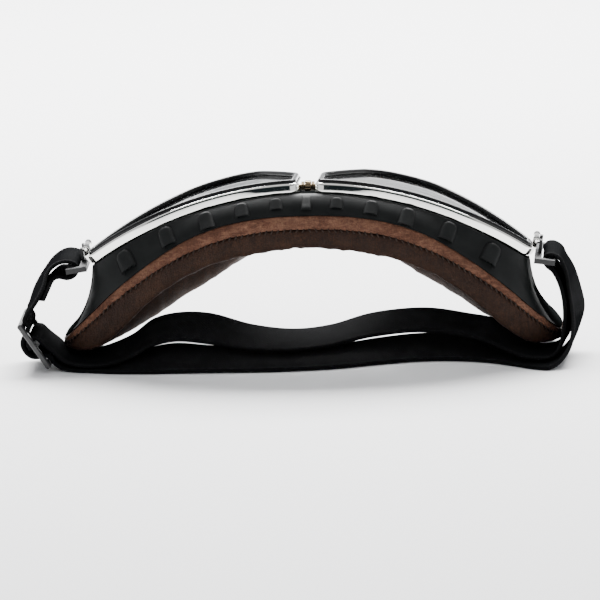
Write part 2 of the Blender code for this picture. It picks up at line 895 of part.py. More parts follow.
for sign, side, rim in ((1, "right", rims[0]), (-1, "left", rims[1])):

    def placed(shape):
        v, f = shape
        return [(sign * x, y, z) for x, y, z in v], f

    # rim tab and its knuckle
    tab = make(
        side + "_tab",
        *placed(
            (
                [(x, y, z) for y in (-13.0, 1.2) for x, z in TAB],
                [(i, (i + 1) % 6, 6 + (i + 1) % 6, 6 + i) for i in range(6)]
                + [(5, 4, 3, 2, 1, 0), (6, 7, 8, 9, 10, 11)],
            )
        ),
        CHROME,
    )
    boolean(rim, tab, "UNION")
    relief = make(
        side + "_rim_relief",
        *placed(
            joined(
                [
                    turned((HINGE_X, -17.0, HINGE_Z), (0, 1, 0), [(0, 1.65), (13.4, 1.65)], 18),
                    turned((HINGE_X, 1.1, HINGE_Z), (0, 1, 0), [(0, 1.65), (4.3, 1.65)], 18),
                ]
            )
        ),
        CHROME,
    )
    boolean(rim, relief, "DIFFERENCE")
    knuckle = make(
        side + "_rim_knuckle",
        *placed(
            turned((HINGE_X, -3.7, HINGE_Z), (0, 1, 0), [(0, KNUCKLE_R), (5.1, KNUCKLE_R)], 18)
        ),
        CHROME,
    )
    boolean(rim, knuckle, "UNION")
    bore = make(
        side + "_rim_bore",
        *placed(
            turned((HINGE_X, -9.0, HINGE_Z), (0, 1, 0), [(0, BORE_R), (17.0, BORE_R)], 18)
        ),
        CHROME,
    )
    boolean(rim, bore, "DIFFERENCE")
    socket = make(
        side + "_bridge_socket",
        *placed(
            turned((1.5, BRIDGE_Y, BRIDGE_Z), (1, 0, 0), [(0, 0.9), (2.15, 0.9)], 24)
        ),
        CHROME,
    )
    boolean(rim, socket, "DIFFERENCE")

    # strap loop: plate, slot and two knuckles on the pin
    plate = make(
        side + "_strap_loop",
        *placed(loop_box(0.0, LOOP_R, LOOP_Y0, LOOP_Y1, LOOP_T0, LOOP_T1)),
        GREY,
    )
    bridge_a = make(
        side + "_ear_a",
        *placed(
            joined(
                [
                    loop_leg(-6.8, -4.05),
                    loop_leg(1.85, 4.6),
                ]
            )
        ),
        GREY,
    )
    boolean(plate, bridge_a, "UNION")
    ears = make(
        side + "_ear_b",
        *placed(
            joined(
                [
                    turned(
                        (HINGE_X, -6.9, HINGE_Z), (0, 1, 0), [(0, KNUCKLE_R), (2.95, KNUCKLE_R)], 18
                    ),
                    turned(
                        (HINGE_X, 1.75, HINGE_Z), (0, 1, 0), [(0, KNUCKLE_R), (2.95, KNUCKLE_R)], 18
                    ),
                ]
            )
        ),
        GREY,
    )
    boolean(plate, ears, "UNION")
    cut = make(
        side + "_slot",
        *placed(loop_box(SLOT_R0, SLOT_R1, SLOT_Y0, SLOT_Y1, LOOP_T0 - 2.0, LOOP_T1 + 2.0)),
        GREY,
    )
    boolean(plate, cut, "DIFFERENCE")
    cut = make(
        side + "_ear_bore",
        *placed(
            turned((HINGE_X, -9.0, HINGE_Z), (0, 1, 0), [(0, BORE_R), (17.0, BORE_R)], 18)
        ),
        GREY,
    )
    boolean(plate, cut, "DIFFERENCE")
    bevel = plate.modifiers.new("bevel", "BEVEL")
    bevel.width = 0.0003
    bevel.segments = 1
    bevel.limit_method = "ANGLE"
    bevel.angle_limit = math.radians(60)

    make(
        side + "_hinge_pin",
        *placed(
            turned(
                (HINGE_X, -8.1, HINGE_Z),
                (0, 1, 0),
                [
                    (0, 0.5),
                    (0.25, 0.95),
                    (0.6, 1.15),
                    (0.9, 1.15),
                    (0.9, PIN_R),
                    (13.1, PIN_R),
                    (13.1, 1.15),
                    (13.4, 1.15),
                    (13.75, 0.95),
                    (14.0, 0.5),
                ],
                18,
            )
        ),
        CHROME,
    )

# ------------------------------------------------------------------ bridge adjuster
wheel = turned(
    (-3.3, BRIDGE_Y, BRIDGE_Z),
    (1, 0, 0),
    [
        (0, STUD_R),
        (2.1, STUD_R),
        (2.1, WHEEL_R - 0.3),
        (2.35, WHEEL_R),
        (4.25, WHEEL_R),
        (4.5, WHEEL_R - 0.3),
        (4.5, STUD_R),
        (6.6, STUD_R),
    ],
    24,
)
adjuster = make("bridge_adjuster", *wheel, BRASS)
grooves = []
for k in range(12):
    a = 2 * math.pi * (k + 0.5) / 12
    grooves.append(
        turned(
            (
                -1.6,
                BRIDGE_Y + (WHEEL_R + 0.12) * math.cos(a),
                BRIDGE_Z + (WHEEL_R + 0.12) * math.sin(a),
            ),
            (1, 0, 0),
            [(0, 0.3), (3.2, 0.3)],
            6,
        )
    )
boolean(adjuster, make("cut_knurl", *joined(grooves), BRASS), "DIFFERENCE")

for sign, side in ((1, "right"), (-1, "left")):
    nut = turned(
        (1.4, BRIDGE_Y, BRIDGE_Z), (1, 0, 0), [(0, 1.75), (1.1, 1.75)], 6, math.pi / 6
    )
    v, f = nut
    o = make(side + "_bridge_nut", [(sign * x, y, z) for x, y, z in v], f, BRASS)
    v, f = turned((1.0, BRIDGE_Y, BRIDGE_Z), (1, 0, 0), [(0, 0.9), (2.0, 0.9)], 24)
    boolean(
        o,
        make(side + "_nut_bore", [(sign * x, y, z) for x, y, z in v], f, BRASS),
        "DIFFERENCE",
    )

# ------------------------------------------------------------------ slider
ST, SH, SC = (np.array(v, float) for v in (SLIDER_T, SLIDER_H, SLIDER_AT))


def slider_point(t, y, hgt):
    p = SC + ST * t + SH * hgt
    return (p[0], SC[1] + y, p[2])


def slider_box(t0, t1, y0, y1, h0, h1):
    v, f = box((t0, y0, h0), (t1, y1, h1))
    return [slider_point(*p) for p in v], f


slider = make(
    "strap_slider",
    *slider_box(
        -SLIDER_LEN / 2,
        SLIDER_LEN / 2,
        -SLIDER_W / 2,
        SLIDER_W / 2,
        -SLIDER_THICK / 2,
        SLIDER_THICK / 2,
    ),
    PLASTIC,
)
boolean(
    slider,
    make(
        "cut_slider",
        *joined(
            [
                slider_box(-7.2, -1.5, -13.1, 13.1, -3, 3),
                slider_box(1.5, 7.2, -13.1, 13.1, -3, 3),
            ]
        ),
        PLASTIC,
    ),
    "DIFFERENCE",
)
bevel = slider.modifiers.new("bevel", "BEVEL")
bevel.width = 0.0004
bevel.segments = 1
bevel.limit_method = "ANGLE"
bevel.angle_limit = math.radians(60)

# ------------------------------------------------------------------ strap
LEVEL = (0.0, 1.0, 0.0)


def at_slider(t, hgt, width=LEVEL):
    return (*slider_point(t, 0.0, hgt), *width)


def across(lean, yaw=0.0):
    """Width direction: lean lifts the cheek-side edge, yaw turns it about Z."""
    a, b = math.radians(lean), math.radians(yaw)
    return (math.sin(b) * math.cos(a), math.cos(b) * math.cos(a), math.sin(a))


def at_loop(sign, r, t, y=-1.5, width=LEVEL):
    p = loop_point(r, y, t)
    return (sign * p[0], y, p[2], *width)


ROUTE = [
    # sewn end round the slider's middle bar
    at_slider(0.8, -2.3),
    at_slider(-1.7, -2.0),
    at_slider(-2.75, 0.0),
    at_slider(-1.9, 2.1),
    at_slider(0.6, 2.75),
    at_slider(3.2, 3.4),
    at_slider(6.8, 4.5),
    # upper layer, along under the mask to the right
    (-94.6, -18.0, 5.0, *LEVEL),
    (-91.0, -19.6, 3.7, *LEVEL),
    (-85.5, -21.5, 3.4, *across(1)),
    (-77.0, -20.5, 4.4, *across(6)),
    (-68.5, -15.6, 6.6, *across(9)),
    (-61.0, -10.8, 10.6, *across(12)),
    (-52.0, -8.6, 12.2, *across(12.5)),
    (-40.0, -8.5, 11.4, *across(14)),
    (-24.0, -10.5, 8.0, *across(10)),
    (-8.0, -10.5, 6.7, *across(6)),
    (6.0, -7.0, 7.3, *across(6)),
    (22.0, -1.0, 10.0, *across(8)),
    (42.0, 0.0, 11.4, *across(8)),
    (60.0, -7.0, 10.2, *across(8)),
    (68.0, -12.2, 9.3, *across(10)),
    (74.5, -17.4, 7.2, *across(9)),
    (82.0, -22.2, 4.0, *across(2)),
    (87.5, -23.3, 3.3, *LEVEL),
    (91.0, -22.2, 3.4, *across(0, 2)),
    (94.2, -20.2, 5.1, *across(-2, 3)),
    (96.3, -16.6, 8.9, *across(-6, 5)),
    (97.6, -11.5, 14.8, *across(-8, 7)),
    (96.9, -7.2, 22.0, *across(-6, 6)),
    (94.6, -4.0, 28.2, *across(-3, 3)),
    at_loop(1, 7.3, -9.3, -2.0),
    # up through the right loop and over its bar
    at_loop(1, 5.4, -8.3),
    at_loop(1, 3.9, -6.2),
    at_loop(1, 4.45, -3.95),
    at_loop(1, 6.6, -3.35),
    at_loop(1, 9.6, -4.6),
    at_loop(1, 11.4, -7.3, -1.8),
    (97.8, -3.0, 30.4, *across(-3, 4)),
    (99.5, -6.4, 24.0, *across(-6, 8)),
    (100.8, -11.8, 17.6, *across(-8, 9)),
    (100.1, -18.0, 11.5, *across(-6, 4)),
    (97.9, -24.0, 6.1, *across(-3, 2)),
    (94.0, -28.4, 2.5, *across(0, 2)),
    (89.5, -30.2, 0.95, *LEVEL),
    # lower layer, along the floor to the left
    (83.5, -27.6, 0.95, *LEVEL),
    (77.0, -22.6, 0.95, *LEVEL),
    (69.0, -17.0, 1.95, *across(4)),
    (58.0, -12.8, 3.0, *across(9)),
    (42.0, -11.8, 3.4, *across(11)),
    (26.0, -16.0, 3.2, *across(10)),
    (10.0, -22.0, 2.7, *across(7.5)),
    (-10.0, -25.3, 2.4, *across(6)),
    (-24.0, -25.6, 2.6, *across(7)),
    (-40.0, -25.5, 3.3, *across(10)),
    (-53.0, -25.4, 3.7, *across(13)),
    (-65.0, -25.0, 2.5, *across(7)),
    (-77.0, -23.2, 0.95, *LEVEL),
    (-83.5, -21.5, 0.95, *LEVEL),
    (-90.0, -19.5, 0.95, *LEVEL),
    (-94.0, -18.1, 1.45, *LEVEL),
    at_slider(9.6, 2.15),
    at_slider(7.9, 2.15),
    at_slider(6.5, 1.85),
    at_slider(5.4, 0.4),
    at_slider(4.7, -1.4),
    at_slider(3.4, -3.3),
    at_slider(1.6, -4.25),
    at_slider(0.0, -4.4),
    at_slider(-1.8, -4.2),
    at_slider(-3.6, -3.2),
    at_slider(-4.9, -1.4),
    at_slider(-5.5, 0.4),
    at_slider(-6.6, 1.85),
    at_slider(-8.0, 2.15),
    at_slider(-10.0, 2.2),
    # up to the left loop and over its bar
    (-105.6, -14.2, 24.4, *across(-11, -10)),
    (-103.4, -9.8, 29.4, *across(-11, -12)),
    (-101.3, -5.4, 33.8, *across(-7, -6)),
    (-98.4, -2.4, 37.2, *across(-2, -2)),
    at_loop(-1, 9.7, -2.5),
    at_loop(-1, 6.7, -2.7),
    at_loop(-1, 4.45, -3.95),
    at_loop(-1, 3.9, -6.2),
    at_loop(-1, 5.4, -8.3),
    # sewn end of the left loop
    at_loop(-1, 7.9, -9.0, -1.7),
    (-96.4, -2.6, 33.2, *across(-2, -2)),
    (-99.2, -4.9, 31.6, *across(-7, -6)),
    (-101.7, -8.9, 28.3, *across(-11, -12)),
    (-103.6, -12.6, 24.4, *across(-11, -12)),
]


def ribbon(route, width, thick, step, nose=0.45):
    """A webbing of rounded section along a route of centres and width directions."""
    pts = open_spline(route, step)
    c, wide = pts[:, :3], pts[:, 3:]
    c[:, 2] = np.maximum(c[:, 2], STRAP_REST)
    tan = np.gradient(c, axis=0)
    tan /= np.linalg.norm(tan, axis=1)[:, None]
    wide = wide / np.linalg.norm(wide, axis=1)[:, None]
    nor = np.cross(tan, wide)
    nor /= np.linalg.norm(nor, axis=1)[:, None]
    a, b = width / 2, thick / 2
    section = [
        (-a + nose, -b),
        (a - nose, -b),
        (a, 0.0),
        (a - nose, b),
        (-a + nose, b),
        (-a, 0.0),
    ]
    n, m = len(c), len(section)
    verts = np.array(
        [c[i] + wide[i] * u + nor[i] * v for i in range(n) for u, v in section]
    )
    verts[:, 2] = np.maximum(verts[:, 2], STRAP_REST - thick / 2)
    verts = [tuple(v) for v in verts]
    faces = [
        (
            i * m + j,
            i * m + (j + 1) % m,
            (i + 1) * m + (j + 1) % m,
            (i + 1) * m + j,
        )
        for i in range(n - 1)
        for j in range(m)
    ]
    faces.append(tuple(range(m))[::-1])
    faces.append(tuple(range((n - 1) * m, n * m)))
    return verts, faces


make("strap_webbing", *ribbon(ROUTE, STRAP_W, STRAP_T, 4.0), WEBBING, 50)
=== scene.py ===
"""Looks for the riding goggles: rims, lenses, moulded rubber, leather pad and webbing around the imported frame."""

import math

import bmesh
import bpy
import numpy as np
from mathutils import Matrix, Vector, noise


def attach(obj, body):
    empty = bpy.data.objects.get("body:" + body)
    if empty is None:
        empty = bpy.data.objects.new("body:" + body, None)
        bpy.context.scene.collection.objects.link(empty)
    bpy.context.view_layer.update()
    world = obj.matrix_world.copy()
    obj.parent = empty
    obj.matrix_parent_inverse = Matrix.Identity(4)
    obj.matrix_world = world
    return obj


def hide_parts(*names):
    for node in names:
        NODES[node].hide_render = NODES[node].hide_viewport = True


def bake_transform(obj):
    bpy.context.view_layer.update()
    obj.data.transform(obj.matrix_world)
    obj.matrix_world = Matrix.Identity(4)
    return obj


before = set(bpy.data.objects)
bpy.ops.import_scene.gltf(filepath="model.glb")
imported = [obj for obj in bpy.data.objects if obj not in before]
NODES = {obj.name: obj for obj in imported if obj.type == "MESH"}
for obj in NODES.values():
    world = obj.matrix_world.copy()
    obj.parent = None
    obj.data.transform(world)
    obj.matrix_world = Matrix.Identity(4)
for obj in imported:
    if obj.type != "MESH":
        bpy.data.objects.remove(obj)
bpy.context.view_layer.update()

MM = 0.001
OFFSET = (3.578, 0.739, -0.15)

# ---- the same sizes as the solids, millimetres before the offset
LENS_R = 142.5
TOP_Z = 70.0
AXIS_Z = TOP_Z - LENS_R
LEAN = 0.09
BROW_Y = -24.0
RIM_WALL, RIM_HEIGHT, RIM_FLANGE = 1.1, 3.6, 3.2
LENS_EDGE, LENS_TOP, LENS_THICK = -2.2, -0.3, 1.6
BODY_TOP, SKIN, FLANGE = -3.9, 1.9, 1.6
PAD_WIDTH, LEATHER, GAP = 11.5, 1.4, 0.3
HINGE_X, HINGE_Z = 85.7, 42.9
KNUCKLE_R = 1.3
LOOP_DROOP = 8.0
BRIDGE_Y, BRIDGE_Z = -13.0, 66.8
STRAP_W, STRAP_T, STRAP_REST = 25.0, 1.6, 0.95
SLIDER_AT = (-104.5, -17.0, 10.5)
SLIDER_T = (0.55, 0.0, -0.8352)
SLIDER_H = (0.8352, 0.0, 0.55)


def at(x, y, z):
    """A point of the sizes above as a point of the frame, in metres."""
    return Vector(((x + OFFSET[0]) * MM, (y + OFFSET[1]) * MM, (z + OFFSET[2]) * MM))


# ------------------------------------------------------------------ materials
class Nodes:
    """Short ways to write a node tree."""

    def __init__(self, name):
        self.mat = bpy.data.materials.new(name)
        self.mat.use_nodes = True
        self.tree = self.mat.node_tree
        self.bsdf = self.tree.nodes["Principled BSDF"]

    def add(self, kind, **values):
        n = self.tree.nodes.new(kind)
        for k, v in values.items():
            if k in n.inputs:
                n.inputs[k].default_value = v
            else:
                setattr(n, k, v)
        return n

    def link(self, a, b):
        self.tree.links.new(a, b)

    def position(self):
        return self.add("ShaderNodeTexCoord").outputs["Object"]

    def uv(self):
        return self.add("ShaderNodeTexCoord").outputs["UV"]

    def stretched(self, vector, scale, turn=(0, 0, 0)):
        m = self.add("ShaderNodeMapping")
        m.inputs["Scale"].default_value = scale
        m.inputs["Rotation"].default_value = turn
        self.link(vector, m.inputs["Vector"])
        return m.outputs["Vector"]

    def noise(self, vector, scale, detail=3.0, rough=0.55, distortion=0.0):
        n = self.add("ShaderNodeTexNoise")
        n.inputs["Scale"].default_value = scale
        n.inputs["Detail"].default_value = detail
        n.inputs["Roughness"].default_value = rough
        n.inputs["Distortion"].default_value = distortion
        self.link(vector, n.inputs["Vector"])
        return n.outputs["Fac"]

    def cells(self, vector, scale, feature="F1", smooth=0.0):
        n = self.add("ShaderNodeTexVoronoi")
        n.feature = feature
        n.inputs["Scale"].default_value = scale
        self.link(vector, n.inputs["Vector"])
        return n.outputs["Distance"]

    def math(self, op, a, b=None, c=None):
        n = self.add("ShaderNodeMath")
        n.operation = op
        for i, v in enumerate((a, b, c)):
            if v is None:
                continue
            if isinstance(v, (int, float)):
                n.inputs[i].default_value = v
            else:
                self.link(v, n.inputs[i])
        return n.outputs[0]

    def ramp(self, factor, stops):
        n = self.add("ShaderNodeValToRGB")
        e = n.color_ramp.elements
        while len(e) < len(stops):
            e.new(0.5)
        for k, (p, c) in zip(e, stops):
            k.position = p
            k.color = (*c, 1.0) if len(c) == 3 else c
        self.link(factor, n.inputs["Fac"])
        return n.outputs["Color"]

    def range(self, value, a, b, lo, hi):
        n = self.add("ShaderNodeMapRange")
        n.inputs["From Min"].default_value = a
        n.inputs["From Max"].default_value = b
        n.inputs["To Min"].default_value = lo
        n.inputs["To Max"].default_value = hi
        self.link(value, n.inputs["Value"])
        return n.outputs["Result"]

    def mix(self, factor, a, b):
        n = self.add("ShaderNodeMix")
        n.data_type = "RGBA"
        if isinstance(factor, (int, float)):
            n.inputs["Factor"].default_value = factor
        else:
            self.link(factor, n.inputs["Factor"])
        for socket, v in ((n.inputs[6], a), (n.inputs[7], b)):
            if isinstance(v, tuple):
                socket.default_value = (*v, 1.0)
            else:
                self.link(v, socket)
        return n.outputs[2]

    def facing(self, a, b, lo, hi):
        """Runs from lo where the surface faces the view to hi where it is seen edge-on."""
        n = self.add("ShaderNodeLayerWeight")
        n.inputs["Blend"].default_value = 0.5
        return self.range(n.outputs["Facing"], a, b, lo, hi)

    def bump(self, height, distance, strength=1.0, under=None):
        n = self.add("ShaderNodeBump")
        n.inputs["Distance"].default_value = distance
        n.inputs["Strength"].default_value = strength
        self.link(height, n.inputs["Height"])
        if under is not None:
            self.link(under, n.inputs["Normal"])
        return n.outputs["Normal"]

    def out(self, **sockets):
        names = {
            "color": "Base Color",
            "rough": "Roughness",
            "metal": "Metallic",
            "normal": "Normal",
            "spec": "Specular IOR Level",
            "coat": "Coat Weight",
            "coat_rough": "Coat Roughness",
            "ior": "IOR",
            "transmission": "Transmission Weight",
            "sheen": "Sheen Weight",
            "sheen_rough": "Sheen Roughness",
            "sheen_tint": "Sheen Tint",
        }
        for k, v in sockets.items():
            s = self.bsdf.inputs[names[k]]
            if isinstance(v, (int, float)):
                s.default_value = v
            elif isinstance(v, tuple):
                s.default_value = (*v, 1.0)
            else:
                self.link(v, s)
        return self.mat


def chrome_material(name, colour, rough=0.05):
    n = Nodes(name)
    p = n.position()
    haze = n.noise(p, 90.0, 3)
    fine = n.noise(n.stretched(p, (1.0, 1.0, 4.0)), 700.0, 2)
    r = n.range(haze, 0.35, 0.75, rough, rough + 0.06)
    tone = n.mix(n.range(haze, 0.4, 0.8, 0, 0.5), colour, tuple(c * 0.86 for c in colour))
    return n.out(
        color=tone,
        rough=r,
        metal=1.0,
        normal=n.bump(n.math("ADD", n.math("MULTIPLY", fine, 0.4), haze), 0.00005, 0.25),
    )


def rubber_material():
    n = Nodes("moulded_rubber")
    p = n.position()
    grain = n.noise(p, 2600.0, 4, 0.6)
    soft = n.noise(p, 180.0, 3)
    tone = n.ramp(soft, [(0.3, (0.0042, 0.0048, 0.0048)), (0.72, (0.0072, 0.008, 0.0079))])
    rough = n.range(soft, 0.3, 0.7, 0.4, 0.54)
    dust = n.noise(p, 900.0, 2)
    tone = n.mix(n.range(dust, 0.68, 0.82, 0.0, 0.25), tone, (0.016, 0.0165, 0.016))
    under = n.bump(soft, 0.0003, 0.35)
    return n.out(color=tone, rough=rough, spec=n.facing(0.45, 0.85, 0.14, 0.0), normal=n.bump(grain, 0.00005, 0.4, under))


def gasket_material():
    n = Nodes("gasket_rubber")
    p = n.position()
    soft = n.noise(p, 260.0, 3)
    tone = n.ramp(soft, [(0.3, (0.004, 0.0042, 0.0045)), (0.75, (0.009, 0.0092, 0.0096))])
    return n.out(
        color=tone,
        rough=n.range(soft, 0.3, 0.7, 0.09, 0.16),
        spec=0.22,
        normal=n.bump(soft, 0.0001, 0.2),
    )


def lens_material():
    n = Nodes("clear_lens")
    p = n.position()
    smear = n.noise(n.stretched(p, (1.0, 2.2, 1.0)), 45.0, 4, 0.6, 0.6)
    return n.out(
        color=n.mix(n.range(smear, 0.4, 0.8, 0, 0.4), (0.93, 0.95, 0.955), (0.88, 0.91, 0.92)),
        rough=n.range(smear, 0.45, 0.8, 0.015, 0.07),
        transmission=1.0,
        ior=2.1,
    )


def leather_material(name, dark, mid, light, scale=1.0, crease=0.5, sheen=0.02, folds=0.5, crinkle=0.4):
    n = Nodes(name)
    p = n.position()
    warped = n.add("ShaderNodeVectorMath")
    warped.operation = "MULTIPLY_ADD"
    drift = n.add("ShaderNodeTexNoise")
    drift.inputs["Scale"].default_value = 420.0
    drift.inputs["Detail"].default_value = 2.0
    n.link(p, drift.inputs["Vector"])
    n.link(drift.outputs["Color"], warped.inputs[0])
    warped.inputs[1].default_value = (0.0009, 0.0009, 0.0009)
    n.link(p, warped.inputs[2])
    q = warped.outputs["Vector"]
    pebble = n.cells(q, 1150.0 * scale, "DISTANCE_TO_EDGE")
    fine = n.cells(q, 2600.0 * scale, "DISTANCE_TO_EDGE")
    cloud = n.noise(p, 75.0, 4, 0.6)
    patch = n.noise(p, 260.0, 4, 0.65)
    crack = n.noise(n.stretched(p, (2.2, 1.0, 0.55)), 330.0, 5, 0.7, 1.4)
    pit = n.range(pebble, 0.0, 0.16, 0.0, 1.0)
    small = n.range(fine, 0.0, 0.2, 0.0, 1.0)
    tone = n.ramp(
        n.math("ADD", n.math("MULTIPLY", cloud, 0.55), n.math("MULTIPLY", patch, 0.45)),
        [(0.34, dark), (0.5, mid), (0.66, light)],
    )
    # painted shade: the grain's valleys are darkened, its tops keep the leather's tone
    tone = n.mix(n.range(pit, 0.0, 1.0, 0.55, 0.0), tone, tuple(c * 0.45 for c in dark))
    # painted shade: the thin crack lines, which the bump also sinks, are darkened by the crease amount
    lines = n.range(n.math("ABSOLUTE", n.math("SUBTRACT", crack, 0.5)), 0.0, 0.018, 1.0, 0.0)
    tone = n.mix(n.math("MULTIPLY", lines, crease), tone, tuple(c * 0.35 for c in dark))
    # narrow creases that run from the brow edge towards the face, darkened along their folds as painted shade
    pull = n.noise(n.stretched(p, (1.0, 0.16, 0.16)), 520.0, 4, 0.62, 0.8)
    fold = n.range(n.math("ABSOLUTE", n.math("SUBTRACT", pull, 0.5)), 0.0, 0.035, 1.0, 0.0)
    tone = n.mix(n.math("MULTIPLY", fold, folds * 0.7), tone, tuple(c * 0.4 for c in dark))
    # crinkles from handling, with painted highlight on their raised tops and painted shade in their valleys
    crinkle_noise = n.noise(n.stretched(p, (0.34, 0.8, 1.0), (0.0, 0.35, 0.0)), 780.0, 5, 0.6, 0.9)
    tone = n.mix(n.range(crinkle_noise, 0.5, 0.66, 0.0, crinkle), tone, tuple(c * 1.45 for c in light))
    tone = n.mix(n.range(crinkle_noise, 0.34, 0.48, crinkle, 0.0), tone, tuple(c * 0.6 for c in dark))
    height = n.math(
        "ADD",
        n.math("MULTIPLY", pit, 0.6),
        n.math("ADD", n.math("MULTIPLY", small, 0.25), n.math("MULTIPLY", lines, -0.7)),
    )
    height = n.math("ADD", height, n.math("MULTIPLY", crinkle_noise, 1.6 * crinkle))
    under = n.bump(
        n.math("SUBTRACT", patch, n.math("MULTIPLY", fold, folds)), 0.0006, 0.35
    )
    return n.out(
        color=tone,
        rough=n.range(patch, 0.3, 0.7, 0.5, 0.68),
        spec=0.16,
        sheen=sheen,
        sheen_rough=0.6,
        normal=n.bump(height, 0.00016, 0.75, under),
    )


def webbing_material():
    """Elastic webbing: fine cords along its length, crossed by the weft's short rows."""
    n = Nodes("black_webbing")
    uv = n.uv()
    p = n.position()
    sep = n.add("ShaderNodeSeparateXYZ")
    n.link(uv, sep.inputs[0])
    along, across = sep.outputs[0], sep.outputs[1]
    cords = n.math("SINE", n.math("MULTIPLY", across, 2 * math.pi / 0.00105))
    # neighbouring cords are half a row apart, as in a plain weave
    side = n.math("ROUND", n.math("DIVIDE", across, 0.00105))
    shift = n.math("MULTIPLY", side, 0.5)
    rows = n.math(
        "SINE",
        n.math("MULTIPLY", n.math("ADD", n.math("DIVIDE", along, 0.0012), shift), 2 * math.pi),
    )
    weave = n.math("ADD", n.math("MULTIPLY", cords, 0.5), n.math("MULTIPLY", rows, 0.5))
    fuzz = n.noise(p, 3800.0, 3, 0.7)
    broad = n.noise(p, 120.0, 3)
    height = n.math("ADD", weave, n.math("MULTIPLY", fuzz, 0.6))
    base = n.ramp(broad, [(0.3, (0.0036, 0.0038, 0.0041)), (0.7, (0.0058, 0.006, 0.0065))])
    lit = n.mix(n.range(weave, 0.1, 1.0, 0.0, 0.5), base, (0.011, 0.0113, 0.0122))
    return n.out(
        color=lit,
        rough=0.86,
        spec=n.facing(0.4, 0.85, 0.05, 0.0),
        normal=n.bump(height, 0.00012, 0.8, n.bump(broad, 0.0006, 0.3)),
    )


def thread_material(name, a, b):
    n = Nodes(name)
    p = n.position()
    twist = n.noise(n.stretched(p, (1.0, 1.0, 1.0), (0.4, 0.3, 0.8)), 4200.0, 2)
    return n.out(color=n.mix(twist, a, b), rough=0.75, spec=0.3, normal=n.bump(twist, 0.0001, 0.8))


def painted_material(name, a, b, rough, wear=(0.07, 0.07, 0.069)):
    """Satin paint over metal with a fine orange peel and paler rubbed spots."""
    n = Nodes(name)
    p = n.position()
    peel = n.noise(p, 1500.0, 2)
    cloud = n.noise(p, 300.0, 4, 0.6)
    scuff = n.noise(n.stretched(p, (0.6, 3.0, 1.0)), 800.0, 3, 0.6)
    tone = n.mix(cloud, a, b)
    tone = n.mix(n.range(scuff, 0.7, 0.8, 0.0, 0.5), tone, wear)
    return n.out(
        color=tone,
        rough=n.range(cloud, 0.3, 0.7, rough, rough + 0.12),
        spec=0.3,
        normal=n.bump(n.math("ADD", peel, n.math("MULTIPLY", scuff, 0.5)), 0.00003, 0.5),
    )


def plastic_material():
    n = Nodes("slider_plastic")
    p = n.position()
    soft = n.noise(p, 350.0, 3)
    scuff = n.noise(n.stretched(p, (0.7, 2.5, 0.7)), 1100.0, 3)
    return n.out(
        color=n.mix(n.range(scuff, 0.66, 0.78, 0, 0.4), (0.006, 0.006, 0.0065), (0.03, 0.03, 0.031)),
        rough=n.range(soft, 0.3, 0.7, 0.24, 0.38),
        spec=0.5,
        normal=n.bump(soft, 0.0001, 0.25),
    )


CHROME = chrome_material("rim_chrome", (0.93, 0.92, 0.88))
STEEL = chrome_material("ring_steel", (0.5, 0.5, 0.49), 0.22)
BRASS = chrome_material("dark_brass", (0.25, 0.19, 0.12), 0.24)
RUBBER = rubber_material()
GASKET = gasket_material()
LENS = lens_material()
BAND = leather_material(
    "leather_band", (0.072, 0.0252, 0.0125), (0.108, 0.0445, 0.0245), (0.172, 0.082, 0.049), 1.0, 0.35, 0.01, 0.25, 0.36
)
# the face cover is the band's leather made about four times darker: painted shade for the pad's roll that faces down
# and inward
FACE = leather_material(
    "leather_face", (0.0165, 0.0062, 0.003), (0.027, 0.0112, 0.0056), (0.044, 0.0195, 0.0105), 0.9, 0.6, 0.01, 0.75, 0.1
)
WEBBING = webbing_material()
THREAD = thread_material("dark_thread", (0.012, 0.007, 0.005), (0.035, 0.02, 0.013))
BLACK_THREAD = thread_material("black_thread", (0.004, 0.004, 0.004), (0.016, 0.016, 0.018))
LOOP = painted_material("loop_paint", (0.012, 0.012, 0.0125), (0.022, 0.022, 0.023), 0.34)
PLASTIC = plastic_material()


# ------------------------------------------------------------------ mesh helpers
def make(name, verts, faces, mat, smooth=40.0, uvs=None):
    me = bpy.data.meshes.new(name)
    pts = (np.array(verts, float).reshape(-1, 3) + np.array(OFFSET)) * MM
    me.from_pydata([tuple(p) for p in pts], [], [tuple(int(i) for i in f) for f in faces])
    if uvs is not None:
        layer = me.uv_layers.new(name="UVMap")
        for loop in me.loops:
            layer.data[loop.index].uv = uvs[loop.vertex_index]
    bm = bmesh.new()
    bm.from_mesh(me)
    bmesh.ops.recalc_face_normals(bm, faces=bm.faces)
    bm.to_mesh(me)
    bm.free()
    me.materials.append(mat)
    me.shade_smooth()
    me.set_sharp_from_angle(angle=math.radians(smooth))
    o = bpy.data.objects.new(name, me)
    bpy.context.scene.collection.objects.link(o)
    return o


def settle(o):
    """Puts the object's modifiers into its mesh."""
    bpy.context.view_layer.update()
    dg = bpy.context.evaluated_depsgraph_get()
    me = bpy.data.meshes.new_from_object(o.evaluated_get(dg))
    old = o.data
    o.modifiers.clear()
    o.data = me
    me.name = o.name
    bpy.data.meshes.remove(old)
    return o


def boolean(o, other, kind):
    """Adds or takes away another shape, which is then gone."""
    m = o.modifiers.new("shape", "BOOLEAN")
    m.object = other
    m.operation = kind
    m.solver = "EXACT"
    settle(o)
    me = other.data
    bpy.data.objects.remove(other)
    bpy.data.meshes.remove(me)


def resmooth(o, angle):
    o.data.shade_smooth()
    o.data.set_sharp_from_angle(angle=math.radians(angle))


